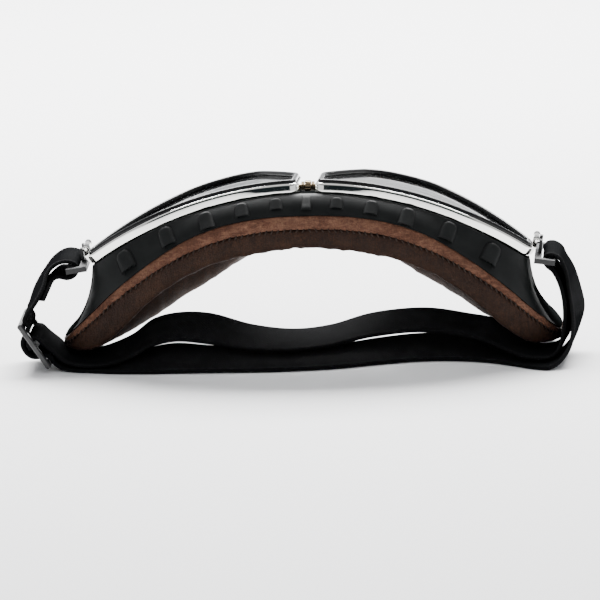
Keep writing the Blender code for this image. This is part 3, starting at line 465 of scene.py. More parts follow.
def closed_spline(points, counts):
    p = np.array(points, float)
    n, out = len(p), []
    for i in range(n):
        a, b, c, d = p[i - 1], p[i], p[(i + 1) % n], p[(i + 2) % n]
        ab, bc, cd = (
            max(np.linalg.norm(b - a), 1e-6) ** 0.5,
            max(np.linalg.norm(c - b), 1e-6) ** 0.5,
            max(np.linalg.norm(d - c), 1e-6) ** 0.5,
        )
        m1 = (c - b) + bc * ((b - a) / ab - (c - a) / (ab + bc))
        m2 = (c - b) + bc * ((d - c) / cd - (d - b) / (bc + cd))
        for k in range(counts[i]):
            t = k / counts[i]
            out.append(
                (2 * t**3 - 3 * t**2 + 1) * b
                + (t**3 - 2 * t**2 + t) * m1
                + (-2 * t**3 + 3 * t**2) * c
                + (t**3 - t**2) * m2
            )
    return np.array(out)


def open_spline(points, step):
    p = np.array(points, float)
    p = np.vstack([2 * p[0] - p[1], p, 2 * p[-1] - p[-2]])
    out = []
    for i in range(1, len(p) - 2):
        a, b, c, d = p[i - 1], p[i], p[i + 1], p[i + 2]
        la, lb, lc = (np.linalg.norm((v - u)[:3]) ** 0.5 for u, v in ((a, b), (b, c), (c, d)))
        m1 = (c - b) + lb * ((b - a) / la - (c - a) / (la + lb))
        m2 = (c - b) + lb * ((d - c) / lc - (d - b) / (lb + lc))
        n = max(1, round(np.linalg.norm((c - b)[:3]) / step))
        for k in range(n):
            t = k / n
            out.append(
                (2 * t**3 - 3 * t**2 + 1) * b
                + (t**3 - 2 * t**2 + t) * m1
                + (-2 * t**3 + 3 * t**2) * c
                + (t**3 - t**2) * m2
            )
    out.append(p[-2])
    return np.array(out)


def ring(rows):
    n, m = len(rows[0]), len(rows)
    verts = [tuple(p) for row in rows for p in row]
    faces = [
        (j * n + i, j * n + (i + 1) % n, ((j + 1) % m) * n + (i + 1) % n, ((j + 1) % m) * n + i)
        for j in range(m)
        for i in range(n)
    ]
    return verts, faces


def turned(p0, axis, rows, n=16, phase=0.0):
    axis = np.array(axis, float) / np.linalg.norm(axis)
    side = np.array((0, 0, 1.0)) if abs(axis[2]) < 0.9 else np.array((1.0, 0, 0))
    e1 = np.cross(axis, side)
    e1 /= np.linalg.norm(e1)
    e2 = np.cross(axis, e1)
    verts, faces = [], []
    for d, r in rows:
        for k in range(n):
            a = 2 * math.pi * k / n + phase
            verts.append(
                tuple(np.array(p0) + axis * d + e1 * r * math.cos(a) + e2 * r * math.sin(a))
            )
    for j in range(len(rows) - 1):
        for k in range(n):
            faces.append((j * n + k, j * n + (k + 1) % n, (j + 1) * n + (k + 1) % n, (j + 1) * n + k))
    faces.append(tuple(range(n))[::-1])
    faces.append(tuple(range((len(rows) - 1) * n, len(rows) * n)))
    return verts, faces


def joined(parts):
    verts, faces = [], []
    for v, f in parts:
        k = len(verts)
        verts += [tuple(p) for p in v]
        faces += [tuple(i + k for i in face) for face in f]
    return verts, faces


def flipped(shape, sign=-1):
    v, f = shape
    return [(sign * p[0], p[1], p[2]) for p in v], f


def fbm(p, scale, octaves=3):
    """Smooth noise from about -1 to 1 at a point in millimetres."""
    return noise.fractal(Vector(p) * scale, 1.0, 2.0, octaves)


# ------------------------------------------------------------------ rims, gaskets, lenses
def on_lens(s, y, v):
    a = s / LENS_R
    return (
        (LENS_R + v) * math.sin(a),
        y,
        AXIS_Z + (LENS_R + v) * math.cos(a) - LEAN * (y - BROW_Y),
    )


def round_x(x):
    return LENS_R * math.asin(x / LENS_R)


RIM_CORNERS = [
    (2.8, -24.0, 4.5),
    (66.0, -24.0, 60.0),
    (84.6, -17.5, 4.0),
    (84.6, -5.5, 5.0),
    (66.0, 13.0, 80.0),
    (46.0, 30.5, 24.0),
    (22.0, 32.0, 16.0),
    (2.8, 3.5, 10.0),
]


def rounded(corners, step, turn_step=22.0):
    n, out = len(corners), []
    pts = [np.array((round_x(x), y)) for x, y, _ in corners]
    arcs = []
    for i in range(n):
        p, r = pts[i], corners[i][2]
        a, b = pts[i - 1] - p, pts[(i + 1) % n] - p
        a, b = a / np.linalg.norm(a), b / np.linalg.norm(b)
        half = math.acos(max(-1, min(1, a @ b))) / 2
        t = r / math.tan(half)
        mid = (a + b) / np.linalg.norm(a + b)
        centre = p + mid * r / math.sin(half)
        turn = math.pi - 2 * half
        k = max(1, math.ceil(turn / math.radians(turn_step)), math.ceil(turn * r / step))
        s = p + a * t - centre
        arcs.append(
            [
                centre
                + np.array(
                    (s[0] * math.cos(q) - s[1] * math.sin(q), s[0] * math.sin(q) + s[1] * math.cos(q))
                )
                for q in [turn * j / k for j in range(k + 1)]
            ]
        )
    for i in range(n):
        out += arcs[i]
        a, b = arcs[i][-1], arcs[(i + 1) % n][0]
        k = max(1, round(np.linalg.norm(b - a) / step))
        out += [a + (b - a) * j / k for j in range(1, k)]
    return np.array(out)


def inset(loop, u):
    d = np.roll(loop, -1, 0) - loop
    d /= np.linalg.norm(d, axis=1)[:, None]
    n = np.stack([d[:, 1], -d[:, 0]], 1)
    m = np.roll(n, 1, 0)
    return loop + u * (n + m) / (1 + (n * m).sum(1))[:, None]


OUTLINE = rounded(RIM_CORNERS, 1.8, 7.0)


def rim_ring(section, flat=None):
    """A ring with this section; away from the bridge its insets pass over to those in flat."""
    rows = []
    t = np.clip((OUTLINE[:, 0] - 13.0) / 15.0, 0.0, 1.0)
    t = (t * t * (3 - 2 * t))[:, None]
    for k, (u, v) in enumerate(section):
        loop = inset(OUTLINE, u)
        if flat is not None:
            loop = loop * (1 - t) + inset(OUTLINE, flat[k]) * t
        rows.append([on_lens(s, y, v) for s, y in loop])
    return ring(rows)


RIM_SECTION = [
    (-0.4, -3.6),
    (-0.14, -3.54),
    (-0.03, -3.38),
    (0.0, -3.15),
    (0.0, -2.85),
    (-0.02, -2.55),
    (-0.06, -2.2),
    (-0.11, -1.85),
    (-0.17, -1.5),
    (-0.24, -1.12),
    (-0.33, -0.78),
    (-0.43, -0.5),
    (-0.56, -0.27),
    (-0.71, -0.1),
    (-0.86, -0.03),
    (-1.0, -0.08),
    (-1.08, -0.25),
    (-1.1, -0.5),
    (-1.1, -2.9),
    (-3.2, -2.9),
    (-3.2, -3.6),
]
# the rim's wall stands nearly straight over the temples and rounds in early at the bridge
RIM_FLAT = [-0.4, -0.14, -0.03, 0, 0, -0.01, -0.02, -0.03, -0.045, -0.065, -0.1, -0.17, -0.3]
RIM_FLAT += [-0.52, -0.78, -1.0, -1.08, -1.1, -1.1, -3.2, -3.2]
GASKET_SECTION = [
    (-1.22, -0.3),
    (-1.2, 0.35),
    (-1.26, 0.8),
    (-1.46, 1.14),
    (-1.78, 1.36),
    (-2.15, 1.43),
    (-2.55, 1.4),
    (-2.9, 1.22),
    (-3.2, 0.92),
    (-3.38, 0.5),
    (-3.42, 0.1),
    (-3.4, -0.12),
    (-2.9, -0.2),
    (-2.06, -0.2),
    (-2.0, -2.1),
    (-3.3, -2.12),
    (-3.3, -2.6),
    (-1.4, -2.6),
]


def plate(points, y0, y1):
    """A bar of the given outline in x and z, from y0 to y1."""
    n = len(points)
    verts = [(x, y, z) for y in (y0, y1) for x, z in points]
    faces = [(i, (i + 1) % n, n + (i + 1) % n, n + i) for i in range(n)]
    faces += [tuple(range(n))[::-1], tuple(range(n, 2 * n))]
    return verts, faces


def lens_shape():
    edge = inset(OUTLINE, LENS_EDGE)
    heart = np.array((round_x(37.0), 1.5))
    n = len(edge)
    levels = [1.0, 0.985, 0.95, 0.88, 0.78, 0.66, 0.53, 0.4, 0.27, 0.14]
    verts, faces = [], []
    for v in (LENS_TOP, LENS_TOP - LENS_THICK):
        for k in levels:
            verts += [on_lens(*(heart + (p - heart) * k), v) for p in edge]
        verts.append(on_lens(*heart, v))
    half = len(levels) * n + 1
    for side in (0, half):
        for j in range(len(levels) - 1):
            for i in range(n):
                q = (
                    side + j * n + i,
                    side + j * n + (i + 1) % n,
                    side + (j + 1) * n + (i + 1) % n,
                    side + (j + 1) * n + i,
                )
                faces.append(q if side == 0 else q[::-1])
        j = len(levels) - 1
        for i in range(n):
            q = (side + j * n + i, side + j * n + (i + 1) % n, side + len(levels) * n)
            faces.append(q if side == 0 else q[::-1])
    for i in range(n):
        faces.append((i, half + i, half + (i + 1) % n, (i + 1) % n))
    return verts, faces


RIM_SHAPE = rim_ring(RIM_SECTION, RIM_FLAT)
GASKET_SHAPE = rim_ring(GASKET_SECTION)
LENS_SHAPE = lens_shape()
TAB = [(82.6, 39.4), (83.3, 38.6), (84.0, 39.0), (85.6, 41.0), (86.6, 42.6), (84.5, 43.0)]

for sign, side in ((1, "right"), (-1, "left")):
    rim = make(side + "_chrome_rim", *flipped(RIM_SHAPE, sign), CHROME, 30)
    tab = make("tab", *flipped(plate(TAB, -13.0, 1.2), sign), CHROME)
    boolean(
        tab,
        make(
            "relief",
            *flipped(
                joined(
                    [
                        turned((HINGE_X, -17.0, HINGE_Z), (0, 1, 0), [(0, 1.65), (13.4, 1.65)], 40),
                        turned((HINGE_X, 1.1, HINGE_Z), (0, 1, 0), [(0, 1.65), (4.3, 1.65)], 40),
                    ]
                ),
                sign,
            ),
            CHROME,
        ),
        "DIFFERENCE",
    )
    boolean(
        tab,
        make(
            "knuckle",
            *flipped(
                turned(
                    (HINGE_X, -3.7, HINGE_Z),
                    (0, 1, 0),
                    [(0, 1.15), (0.15, KNUCKLE_R), (4.95, KNUCKLE_R), (5.1, 1.15)],
                    40,
                ),
                sign,
            ),
            CHROME,
        ),
        "UNION",
    )
    boolean(
        tab,
        make(
            "bore",
            *flipped(turned((HINGE_X, -9.0, HINGE_Z), (0, 1, 0), [(0, 0.8), (17.0, 0.8)], 40), sign),
            CHROME,
        ),
        "DIFFERENCE",
    )
    boolean(rim, tab, "UNION")
    resmooth(rim, 30)
    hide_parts(side + "_rim")
    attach(rim, "mask")

    gasket = make(side + "_bead", *flipped(GASKET_SHAPE, sign), GASKET, 45)
    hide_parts(side + "_lens_gasket")
    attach(gasket, "mask")

    lens = make(side + "_clear_lens", *flipped(LENS_SHAPE, sign), LENS, 40)
    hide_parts(side + "_lens")
    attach(lens, "mask")

# ------------------------------------------------------------------ body and pad outlines
TOP_X = [0, 9, 18, 28, 40, 53, 65, 74.5, 80.8]
TOP_BROW = [-25.2, -25.2, -25.2, -25.2, -25.2, -25.1, -24.4, -22.3, -18.8]
TOP_CHEEK = [5.0, 16.6, 28.4, 33.2, 32.8, 26.0, 16.4, 7.6, -1.4]
TOP_END = [(82.7, -14.0), (83.2, -9.6), (82.7, -5.4)]
SEAM_BROW = [
    (0, -31.5, 59.0),
    (10, -31.5, 58.8),
    (20.5, -31.5, 57.8),
    (32, -31.5, 55.5),
    (46, -31.5, 50.2),
    (60.5, -31.2, 41.2),
    (73.5, -29.8, 31.0),
    (84, -26.2, 20.8),
    (91, -20, 13.8),
]
SEAM_END = [(94.0, -12, 10.4), (94.6, -2.5, 9.4), (93.8, 8, 9.7)]
SEAM_CHEEK = [
    (0, 11, 56.0),
    (9, 20, 54.5),
    (18, 32, 51.5),
    (28, 39, 47.5),
    (40, 41, 42.0),
    (54, 36.5, 34.4),
    (67.5, 29, 26.4),
    (80, 22.5, 18.8),
    (89.8, 16, 12.6),
]
FOOT_BROW = [
    (0, -32, 46.3),
    (10, -32, 45.4),
    (20.5, -32, 43.9),
    (31.5, -32, 41.6),
    (46, -32, 36.0),
    (61, -31.7, 26.0),
    (74, -29.6, 13.9),
    (84, -25.8, 7.4),
    (91, -19.5, 5.8),
]
FOOT_END = [(93.8, -12, 5.2), (94.2, -2.5, 4.7), (93.4, 7.5, 1.8)]
FOOT_CHEEK = [
    (0, 11, 42.0),
    (9, 19.5, 39.0),
    (18, 31.5, 34.5),
    (28, 38.5, 29.0),
    (40, 40, 22.8),
    (54, 35.5, 16.5),
    (67.5, 27.5, 9.0),
    (80, 20.5, 3.2),
    (89.4, 14.5, 0.4),
]


def seat_z(x, y, v=BODY_TOP):
    r = LENS_R + v
    return AXIS_Z + math.sqrt(r * r - x * x) - LEAN * (y - BROW_Y)


def full_loop(brow, end, cheek):
    half = list(brow) + list(end) + list(cheek)[::-1]
    other = [(-x, y, z) for x, y, z in half[1:-1]][::-1]
    return half + other


TOP = full_loop(
    [(x, y, seat_z(x, y)) for x, y in zip(TOP_X, TOP_BROW)],
    [(x, y, seat_z(x, y)) for x, y in TOP_END],
    [(x, y, seat_z(x, y)) for x, y in zip(TOP_X, TOP_CHEEK)],
)
SEAM = full_loop(SEAM_BROW, SEAM_END, SEAM_CHEEK)
FOOT = full_loop(FOOT_BROW, FOOT_END, FOOT_CHEEK)
STATIONS, HALF = len(TOP), 21


def outward(row):
    p = np.array(row)[:, :2]
    d = np.roll(p, -1, 0) - np.roll(p, 1, 0)
    d /= np.linalg.norm(d, axis=1)[:, None]
    return np.stack([d[:, 1], -d[:, 0], np.zeros(len(d))], 1)


TOP, SEAM, FOOT = (np.array(r, float) for r in (TOP, SEAM, FOOT))
OUT = outward(SEAM)
DOWN = FOOT - SEAM
DEPTH = np.linalg.norm(DOWN, axis=1)
DOWN /= DEPTH[:, None]


def station_values(bridge, temple, bridge_cheek):
    out = []
    for i in range(STATIONS):
        k = i if i < HALF else STATIONS - i
        if k <= 9:
            out.append(bridge + (temple - bridge) * max(0.0, (k - 4) / 5.0))
        elif k <= 11:
            out.append(temple)
        else:
            out.append(temple + (bridge_cheek - temple) * min(1.0, (k - 11) / 5.0))
    return np.array(out)


WIDTH = station_values(PAD_WIDTH, 8.5, PAD_WIDTH)
BANDH = station_values(5.2, 2.3, 4.4)
BULGE = station_values(0.9, -2.6, 0.9)
MIDDLE = (TOP + SEAM) / 2 + OUT * BULGE[:, None]
MIDDLE[:, 2] += np.where(np.abs(MIDDLE[:, 0]) > 80, -1.2, 0.6)


def pad_row(out, down):
    out = np.broadcast_to(out, (STATIONS,))
    return SEAM - OUT * out[:, None] + DOWN * np.broadcast_to(down, (STATIONS,))[:, None]


# ------------------------------------------------------------------ moulded rubber body
FINE = 6
COUNTS = [FINE] * STATIONS
UP = np.array((0.0, 0.0, 1.0))


def slope(upper, lower):
    run = ((lower - upper) * OUT).sum(1)
    drop = np.maximum(upper[:, 2] - lower[:, 2], 0.5)
    return run / drop, np.hypot(run, drop) / drop


def inner_wall(thick, flange):
    run, length = slope(MIDDLE, SEAM)
    above = SEAM - OUT * (flange * run + thick * length)[:, None] + UP * flange
    run, length = slope(TOP, SEAM)
    half = MIDDLE - (OUT + UP * run[:, None]) * (thick / length)[:, None]
    run, length = slope(TOP, MIDDLE)
    top = TOP - OUT * (thick * (length - run))[:, None]
    top[:, 2] = [seat_z(x, y, BODY_TOP - thick) for x, y, _ in top]
    flat = np.clip((above[:, 2] + 3.0 - half[:, 2]) / 2.0, 0, 1)[:, None]
    half = half * (1 - flat) + (above + top) / 2 * flat
    return above, half, top


def wall(t):
    """The body's outer wall between the top edge and the seam, as one smooth sweep."""
    return TOP * (1 - t) * (1 - 2 * t) + MIDDLE * 4 * t * (1 - t) + SEAM * t * (2 * t - 1)


def seat_level(x, y, a, b, t):
    return (
        seat_z(x, y)
        + (a[2] - seat_z(a[0], a[1])) * (1 - t)
        + (b[2] - seat_z(b[0], b[1])) * t
    )


def block(rows, counts=COUNTS, across=14):
    loops = [closed_spline(r, counts) for r in rows]
    n = len(loops[0])
    verts = [tuple(p) for loop in loops for p in loop]
    faces = []
    for j in range(len(loops) - 1):
        for i in range(n):
            faces.append((j * n + i, j * n + (i + 1) % n, (j + 1) * n + (i + 1) % n, (j + 1) * n + i))
    quarter = 8 * counts[0]
    centre_far = (HALF - 1) * counts[0]
    for level, flip in ((0, False), (len(loops) - 1, True)):
        base = level * n
        columns = []
        for k in range(-quarter, quarter + 1):
            near, far = base + k % n, base + (centre_far - k) % n
            a, b = np.array(verts[near]), np.array(verts[far])
            column = [near]
            for q in range(1, across):
                p = a + (b - a) * q / across
                p[2] = seat_level(p[0], p[1], a, b, q / across)
                verts.append(tuple(p))
                column.append(len(verts) - 1)
            column.append(far)
            columns.append(column)
        for c, d in zip(columns, columns[1:]):
            for q in range(across):
                face = (c[q], d[q], d[q + 1], c[q + 1])
                faces.append(face if flip else face[::-1])
        for column, lo, hi, way in (
            (columns[-1], quarter, centre_far - quarter, 1),
            (columns[0], n - quarter, n - (centre_far - quarter), -1),
        ):
            end, k = [], lo
            while k != hi:
                end.append(base + k % n)
                k += way
            end.append(base + hi % n)
            faces.append(tuple(end[:-1] + column[1:][::-1]))
    return verts, faces


IN_FLANGE, IN_HALF, IN_TOP = inner_wall(SKIN, FLANGE)
LIP = SEAM - OUT * (WIDTH - 1.6)[:, None]
body = make(
    "rubber_body",
    *block(
        [
            TOP - OUT * 0.55,
            TOP - OUT * 0.12 - UP * 0.1,
            wall(0.05),
            wall(0.15),
            wall(0.27),
            wall(0.4),
            wall(0.53),
            wall(0.66),
            wall(0.79),
            wall(0.9),
            wall(0.965) + OUT * 0.12,
            SEAM + OUT * 0.1 + UP * 0.05,
            SEAM - OUT * 0.5,
            LIP,
            LIP + UP * FLANGE,
            IN_FLANGE,
            IN_HALF,
            IN_TOP,
        ]
    ),
    RUBBER,
)


def eye_prism(sign):
    loop = inset(OUTLINE, -RIM_FLANGE - 0.2)
    rows = [[on_lens(s, y, v) for s, y in loop] for v in (BODY_TOP + 1.5, BODY_TOP - SKIN - 1.5)]
    n = len(loop)
    verts = [(sign * x, y, z) for row in rows for x, y, z in row]
    faces = [(i, (i + 1) % n, n + (i + 1) % n, n + i) for i in range(n)]
    lo, hi = int(loop[:, 0].argmin()), int(loop[:, 0].argmax())
    for base in (0, n):
        a, b, k = [], [], lo
        while k != hi:
            a.append(k)
            k = (k + 1) % n
        a.append(hi)
        k = lo
        while k != hi:
            b.append(k)
            k = (k - 1) % n
        b.append(hi)
        i = j = 0
        while i < len(a) - 1 or j < len(b) - 1:
            step_a = j == len(b) - 1 or (i < len(a) - 1 and loop[a[i + 1]][0] <= loop[b[j + 1]][0])
            if step_a:
                tri = (a[i], a[i + 1], b[j])
                i += 1
            else:
                tri = (a[i], b[j + 1], b[j])
                j += 1
            if len(set(tri)) == 3:
                faces.append(tuple(base + q for q in tri))
    return verts, faces


def hood(sign, x, side, wide, tall, high, lift):
    src = (
        (TOP[:9], MIDDLE[:9], SEAM[:9])
        if side == "brow"
        else (TOP[12:21], MIDDLE[12:21], SEAM[12:21])
    )
    pts = []
    for row in src:
        order = np.argsort(row[:, 0])
        xx = x * (row[:, 0].max() / max(src[1][:, 0].max(), 1))
        pts.append(np.array([np.interp(xx, row[order, 0], row[order, k]) for k in range(3)]))
    t, m, b = pts
    down = (b - t) / np.linalg.norm(b - t)
    order = np.argsort(src[1][:, 0])
    mid = src[1][order]
    along = np.array([np.interp(x + 3, mid[:, 0], mid[:, k]) for k in range(3)]) - np.array(
        [np.interp(x - 3, mid[:, 0], mid[:, k]) for k in range(3)]
    )
    along /= np.linalg.norm(along)
    down = down - along * (down @ along)
    down /= np.linalg.norm(down)
    out = np.cross(along, down)
    if out[1] * (-1 if side == "brow" else 1) < 0:
        out = -out
    c = m * 0.72 + (t + b) * 0.14 - down * lift
    verts, faces = [], []
    k = 21
    levels = []
    dome = min(0.5, wide * 0.52 / tall)  # share of the length taken by the rounded top
    for i in range(9):
        a = math.pi / 2 * i / 8
        levels.append(((1 - math.cos(a)) * dome + 0.004, max(0.06, math.sin(a))))
    for i in range(1, 7):
        levels.append((dome + (1 - dome) * i / 6, 1.0 + 0.05 * i / 6))
    for d, s in levels:
        p = c + down * (d - 0.5) * tall
        rise = high * min(1.0, s * 1.25) ** 0.9 * (0.86 + 0.14 * d)
        for q in range(k):
            a = math.pi * q / (k - 1)
            # a nearly flat face with rounded shoulders and a small fillet at the wall
            ca, sa = math.cos(a), math.sin(a)
            flare = 1 + 0.14 * (1 - sa) ** 4
            verts.append(
                p
                + along * (math.copysign(abs(ca) ** 0.62, ca) * wide / 2 * s * flare)
                + out * (sa**0.62 * rise)
            )
        for q in (-1, 1):
            verts.append(p + along * (q * wide / 2 * s) - out * 1.2)
    row = k + 2
    for j in range(len(levels) - 1):
        for q in range(row):
            faces.append(
                (j * row + q, j * row + (q + 1) % row, (j + 1) * row + (q + 1) % row, (j + 1) * row + q)
            )
    faces.append(tuple(range(row))[::-1])
    faces.append(tuple(range((len(levels) - 1) * row, len(levels) * row)))
    start = c + down * (tall * 0.5 - 1.5) + out * (high * 0.3)
    hole = turned(start, -out - down * 0.1, [(0, wide * 0.2), (5.0, wide * 0.2)], 20)
    # the hollow mouth under the hood
    mouth_v, mouth_f = [], []
    for d, s in ((0.0, 0.3), (0.25, 0.62), (0.6, 0.74), (1.4, 0.78)):
        p = c + down * (0.5 - 0.42 + 0.42 * d) * tall
        for q in range(13):
            a = math.pi * q / 12
            mouth_v.append(
                p
                + along * (math.cos(a) * wide / 2 * s)
                + out * (math.sin(a) ** 0.7 * high * s * 0.9 - 0.05)
            )
    for j in range(3):
        for q in range(13):
            mouth_f.append((j * 13 + q, j * 13 + (q + 1) % 13, (j + 1) * 13 + (q + 1) % 13, (j + 1) * 13 + q))
    mouth_f += [tuple(range(13))[::-1], tuple(range(39, 52))]
    return (
        flipped((verts, faces), sign),
        flipped(hole, sign),
        flipped((mouth_v, mouth_f), sign),
    )


HOODS = [
    (11.4, "brow", 4.6, 5.2, 1.3, 0.6),
    (24.3, "brow", 4.9, 6.3, 1.4, 0.3),
    (37.7, "brow", 5.2, 7.8, 1.5, 0.0),
    (52.6, "brow", 5.5, 8.2, 1.6, 0.8),
    (68.3, "brow", 6.2, 8.8, 1.7, 1.2),
    (30.0, "cheek", 5.0, 7.0, 1.5, 0.0),
    (47.0, "cheek", 5.4, 8.0, 1.6, 0.0),
    (62.0, "cheek", 5.6, 8.0, 1.6, 0.0),
]
solids, holes, mouths = [], [], []
for sign in (1, -1):
    for spec in HOODS:
        a, b, c = hood(sign, *spec)
        solids.append(a)
        holes.append(b)
        mouths.append(c)


def pleat_shape():
    """The folded strip of rubber under the bridge, with a rounded front."""
    foot = np.array(((0, -32.6, 61.4), (0, -29.0, 61.2)))
    head = np.array(((0, -26.6, 66.0), (0, -25.3, 65.0)))
    verts, faces = [], []
    k = 17
    for i in range(11):
        t = i / 10
        front = foot[0] * (1 - t) + head[0] * t
        back = foot[1] * (1 - t) + head[1] * t
        half = 2.05 - 0.25 * t
        for q in range(k):
            a = math.pi * q / (k - 1)
            ca, sa = math.cos(a), math.sin(a)
            p = back + (front - back) * (0.35 + 0.65 * sa**0.55 * (1 - 0.25 * (2 * t - 1) ** 6))
            verts.append(p + np.array((math.copysign(abs(ca) ** 0.75, ca) * half, 0.0, 0.0)))
        verts.append(back + np.array((-half, 0.6, -0.7)))
        verts.append(back + np.array((half, 0.6, -0.7)))
    row = k + 2
    for j in range(10):
        for q in range(row):
            faces.append(
                (j * row + q, j * row + (q + 1) % row, (j + 1) * row + (q + 1) % row, (j + 1) * row + q)
            )
    faces.append(tuple(range(row))[::-1])
    faces.append(tuple(range(10 * row, 11 * row)))
    return verts, faces


boolean(body, make("hoods", *joined(solids), RUBBER), "UNION")
boolean(body, make("pleat", *pleat_shape(), RUBBER), "UNION")
boolean(body, make("eye_a", *eye_prism(1), RUBBER), "DIFFERENCE")
boolean(body, make("eye_b", *eye_prism(-1), RUBBER), "DIFFERENCE")
boolean(body, make("holes", *joined(holes), RUBBER), "DIFFERENCE")
boolean(body, make("mouths", *joined(mouths), RUBBER), "DIFFERENCE")
boolean(
    body,
    make("seat", *turned((-2.9, BRIDGE_Y, BRIDGE_Z), (1, 0, 0), [(0, 2.6), (5.8, 2.6)], 40), RUBBER),
    "DIFFERENCE",
)
resmooth(body, 38)
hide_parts("mask_body")
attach(body, "mask")


# ------------------------------------------------------------------ leather pad
PAD_FINE = 9
h, w, b = DEPTH, WIDTH, BANDH


def padded_ring(rows, section, wrinkle):
    """A leather form through rows of stations: smooth round its section, then creased."""
    loops = np.array([closed_spline(r, [PAD_FINE] * STATIONS) for r in rows])
    m, n, _ = loops.shape
    grid = np.array([closed_spline(loops[:, i], [section] * m) for i in range(n)])
    grid = np.transpose(grid, (1, 0, 2))
    da = np.roll(grid, -1, 1) - np.roll(grid, 1, 1)
    db = np.roll(grid, -1, 0) - np.roll(grid, 1, 0)
    nor = np.cross(da, db)
    nor /= np.maximum(np.linalg.norm(nor, axis=2), 1e-9)[:, :, None]
    centre = grid.mean(0)
    if ((grid - centre) * nor).sum() < 0:
        nor = -nor
    step = np.linalg.norm(np.roll(centre, -1, 0) - centre, axis=1)
    s = np.concatenate([[0], np.cumsum(step)])[:-1]
    share = np.arange(grid.shape[0]) / grid.shape[0]
    for j in range(grid.shape[0]):
        for i in range(n):
            grid[j, i] += nor[j, i] * wrinkle(grid[j, i], s[i], share[j])
    return grid, s


def face_wrinkle(p, s, q):
    # narrow folds across the pad, deepest where it bends in under the brow
    bend = math.exp(-((p[0] / 52.0) ** 2))
    fold = noise.noise(Vector((s * 0.17, q * 2.2, 3.1))) + 0.5 * noise.noise(
        Vector((s * 0.42, q * 3.5, 8.7))
    )
    crease = -abs(noise.noise(Vector((s * 0.24, q * 2.6, 5.5)))) ** 0.6
    return 0.34 * fold * (0.45 + 0.7 * bend) + 0.42 * (crease + 0.5) * (0.35 + bend) + 0.1 * fbm(p, 0.35)


def band_wrinkle(p, s, q):
    return 0.16 * noise.noise(Vector((s * 0.2, q * 2.0, 1.3))) + 0.1 * fbm(p, 0.45)


pad_grid, pad_s = padded_ring(
    [
        pad_row(1.0, b + 0.05),
        pad_row(0.32, b + 0.42),
        pad_row(-0.12, b + 1.1),
        pad_row(-0.42, b + (h - b) * 0.36),
        pad_row(-0.3, b + (h - b) * 0.62),
        pad_row(w * 0.08, h - 0.75),
        pad_row(w * 0.3, h + 0.05),
        pad_row(w * 0.55, h + 0.1),
        pad_row(w * 0.8, h - 0.75),
        pad_row(w * 0.97, h * 0.76),
        pad_row(w, h * 0.45),
        pad_row(w - 0.1, GAP + 0.6),
        pad_row(w - 0.9, GAP + 0.15),
        pad_row(w * 0.5, GAP + 0.15),
        pad_row(2.2, GAP + 0.15),
        pad_row(1.8, b * 0.55),
    ],
    3,
    face_wrinkle,
)
pad = make("face_pad", *ring(pad_grid), FACE, 60)
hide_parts("leather_face_cover", "pad_foam")
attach(pad, "mask")

band_grid, band_s = padded_ring(
    [
        pad_row(0.25, GAP - 0.12),
        pad_row(-0.12, GAP + 0.35),
        pad_row(-0.42, b * 0.35),
        pad_row(-0.5, b * 0.62),
        pad_row(-0.42, b - 0.75),
        pad_row(-0.34, b - 0.2),
        pad_row(-0.02, b + 0.1),
        pad_row(0.5, b - 0.05),
        pad_row(1.2, b - 0.3),
        pad_row(1.3, b * 0.5),
        pad_row(1.1, GAP),
    ],
    3,
    band_wrinkle,
)
band = make("leather_edge_band", *ring(band_grid), BAND, 60)
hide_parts("leather_outer_band")
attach(band, "mask")


def tube(points, radius, sides=7, taper=0.55):
    """A short thread through points, rounded off at both ends."""
    p = np.array(points, float)
    tan = np.gradient(p, axis=0)
    tan /= np.linalg.norm(tan, axis=1)[:, None]
    verts, faces = [], []
    ref = np.array((0.13, 0.97, 0.2))
    for i in range(len(p)):
        e1 = np.cross(tan[i], ref)
        e1 /= np.linalg.norm(e1)
        e2 = np.cross(tan[i], e1)
        r = radius * (taper if i in (0, len(p) - 1) else 1.0)
        for k in range(sides):
            a = 2 * math.pi * k / sides
            verts.append(tuple(p[i] + e1 * r * math.cos(a) + e2 * r * math.sin(a)))
    for j in range(len(p) - 1):
        for k in range(sides):
            faces.append(
                (
                    j * sides + k,
                    j * sides + (k + 1) % sides,
                    (j + 1) * sides + (k + 1) % sides,
                    (j + 1) * sides + k,
                )
            )
    faces.append(tuple(range(sides))[::-1])
    faces.append(tuple(range((len(p) - 1) * sides, len(p) * sides)))
    return verts, faces


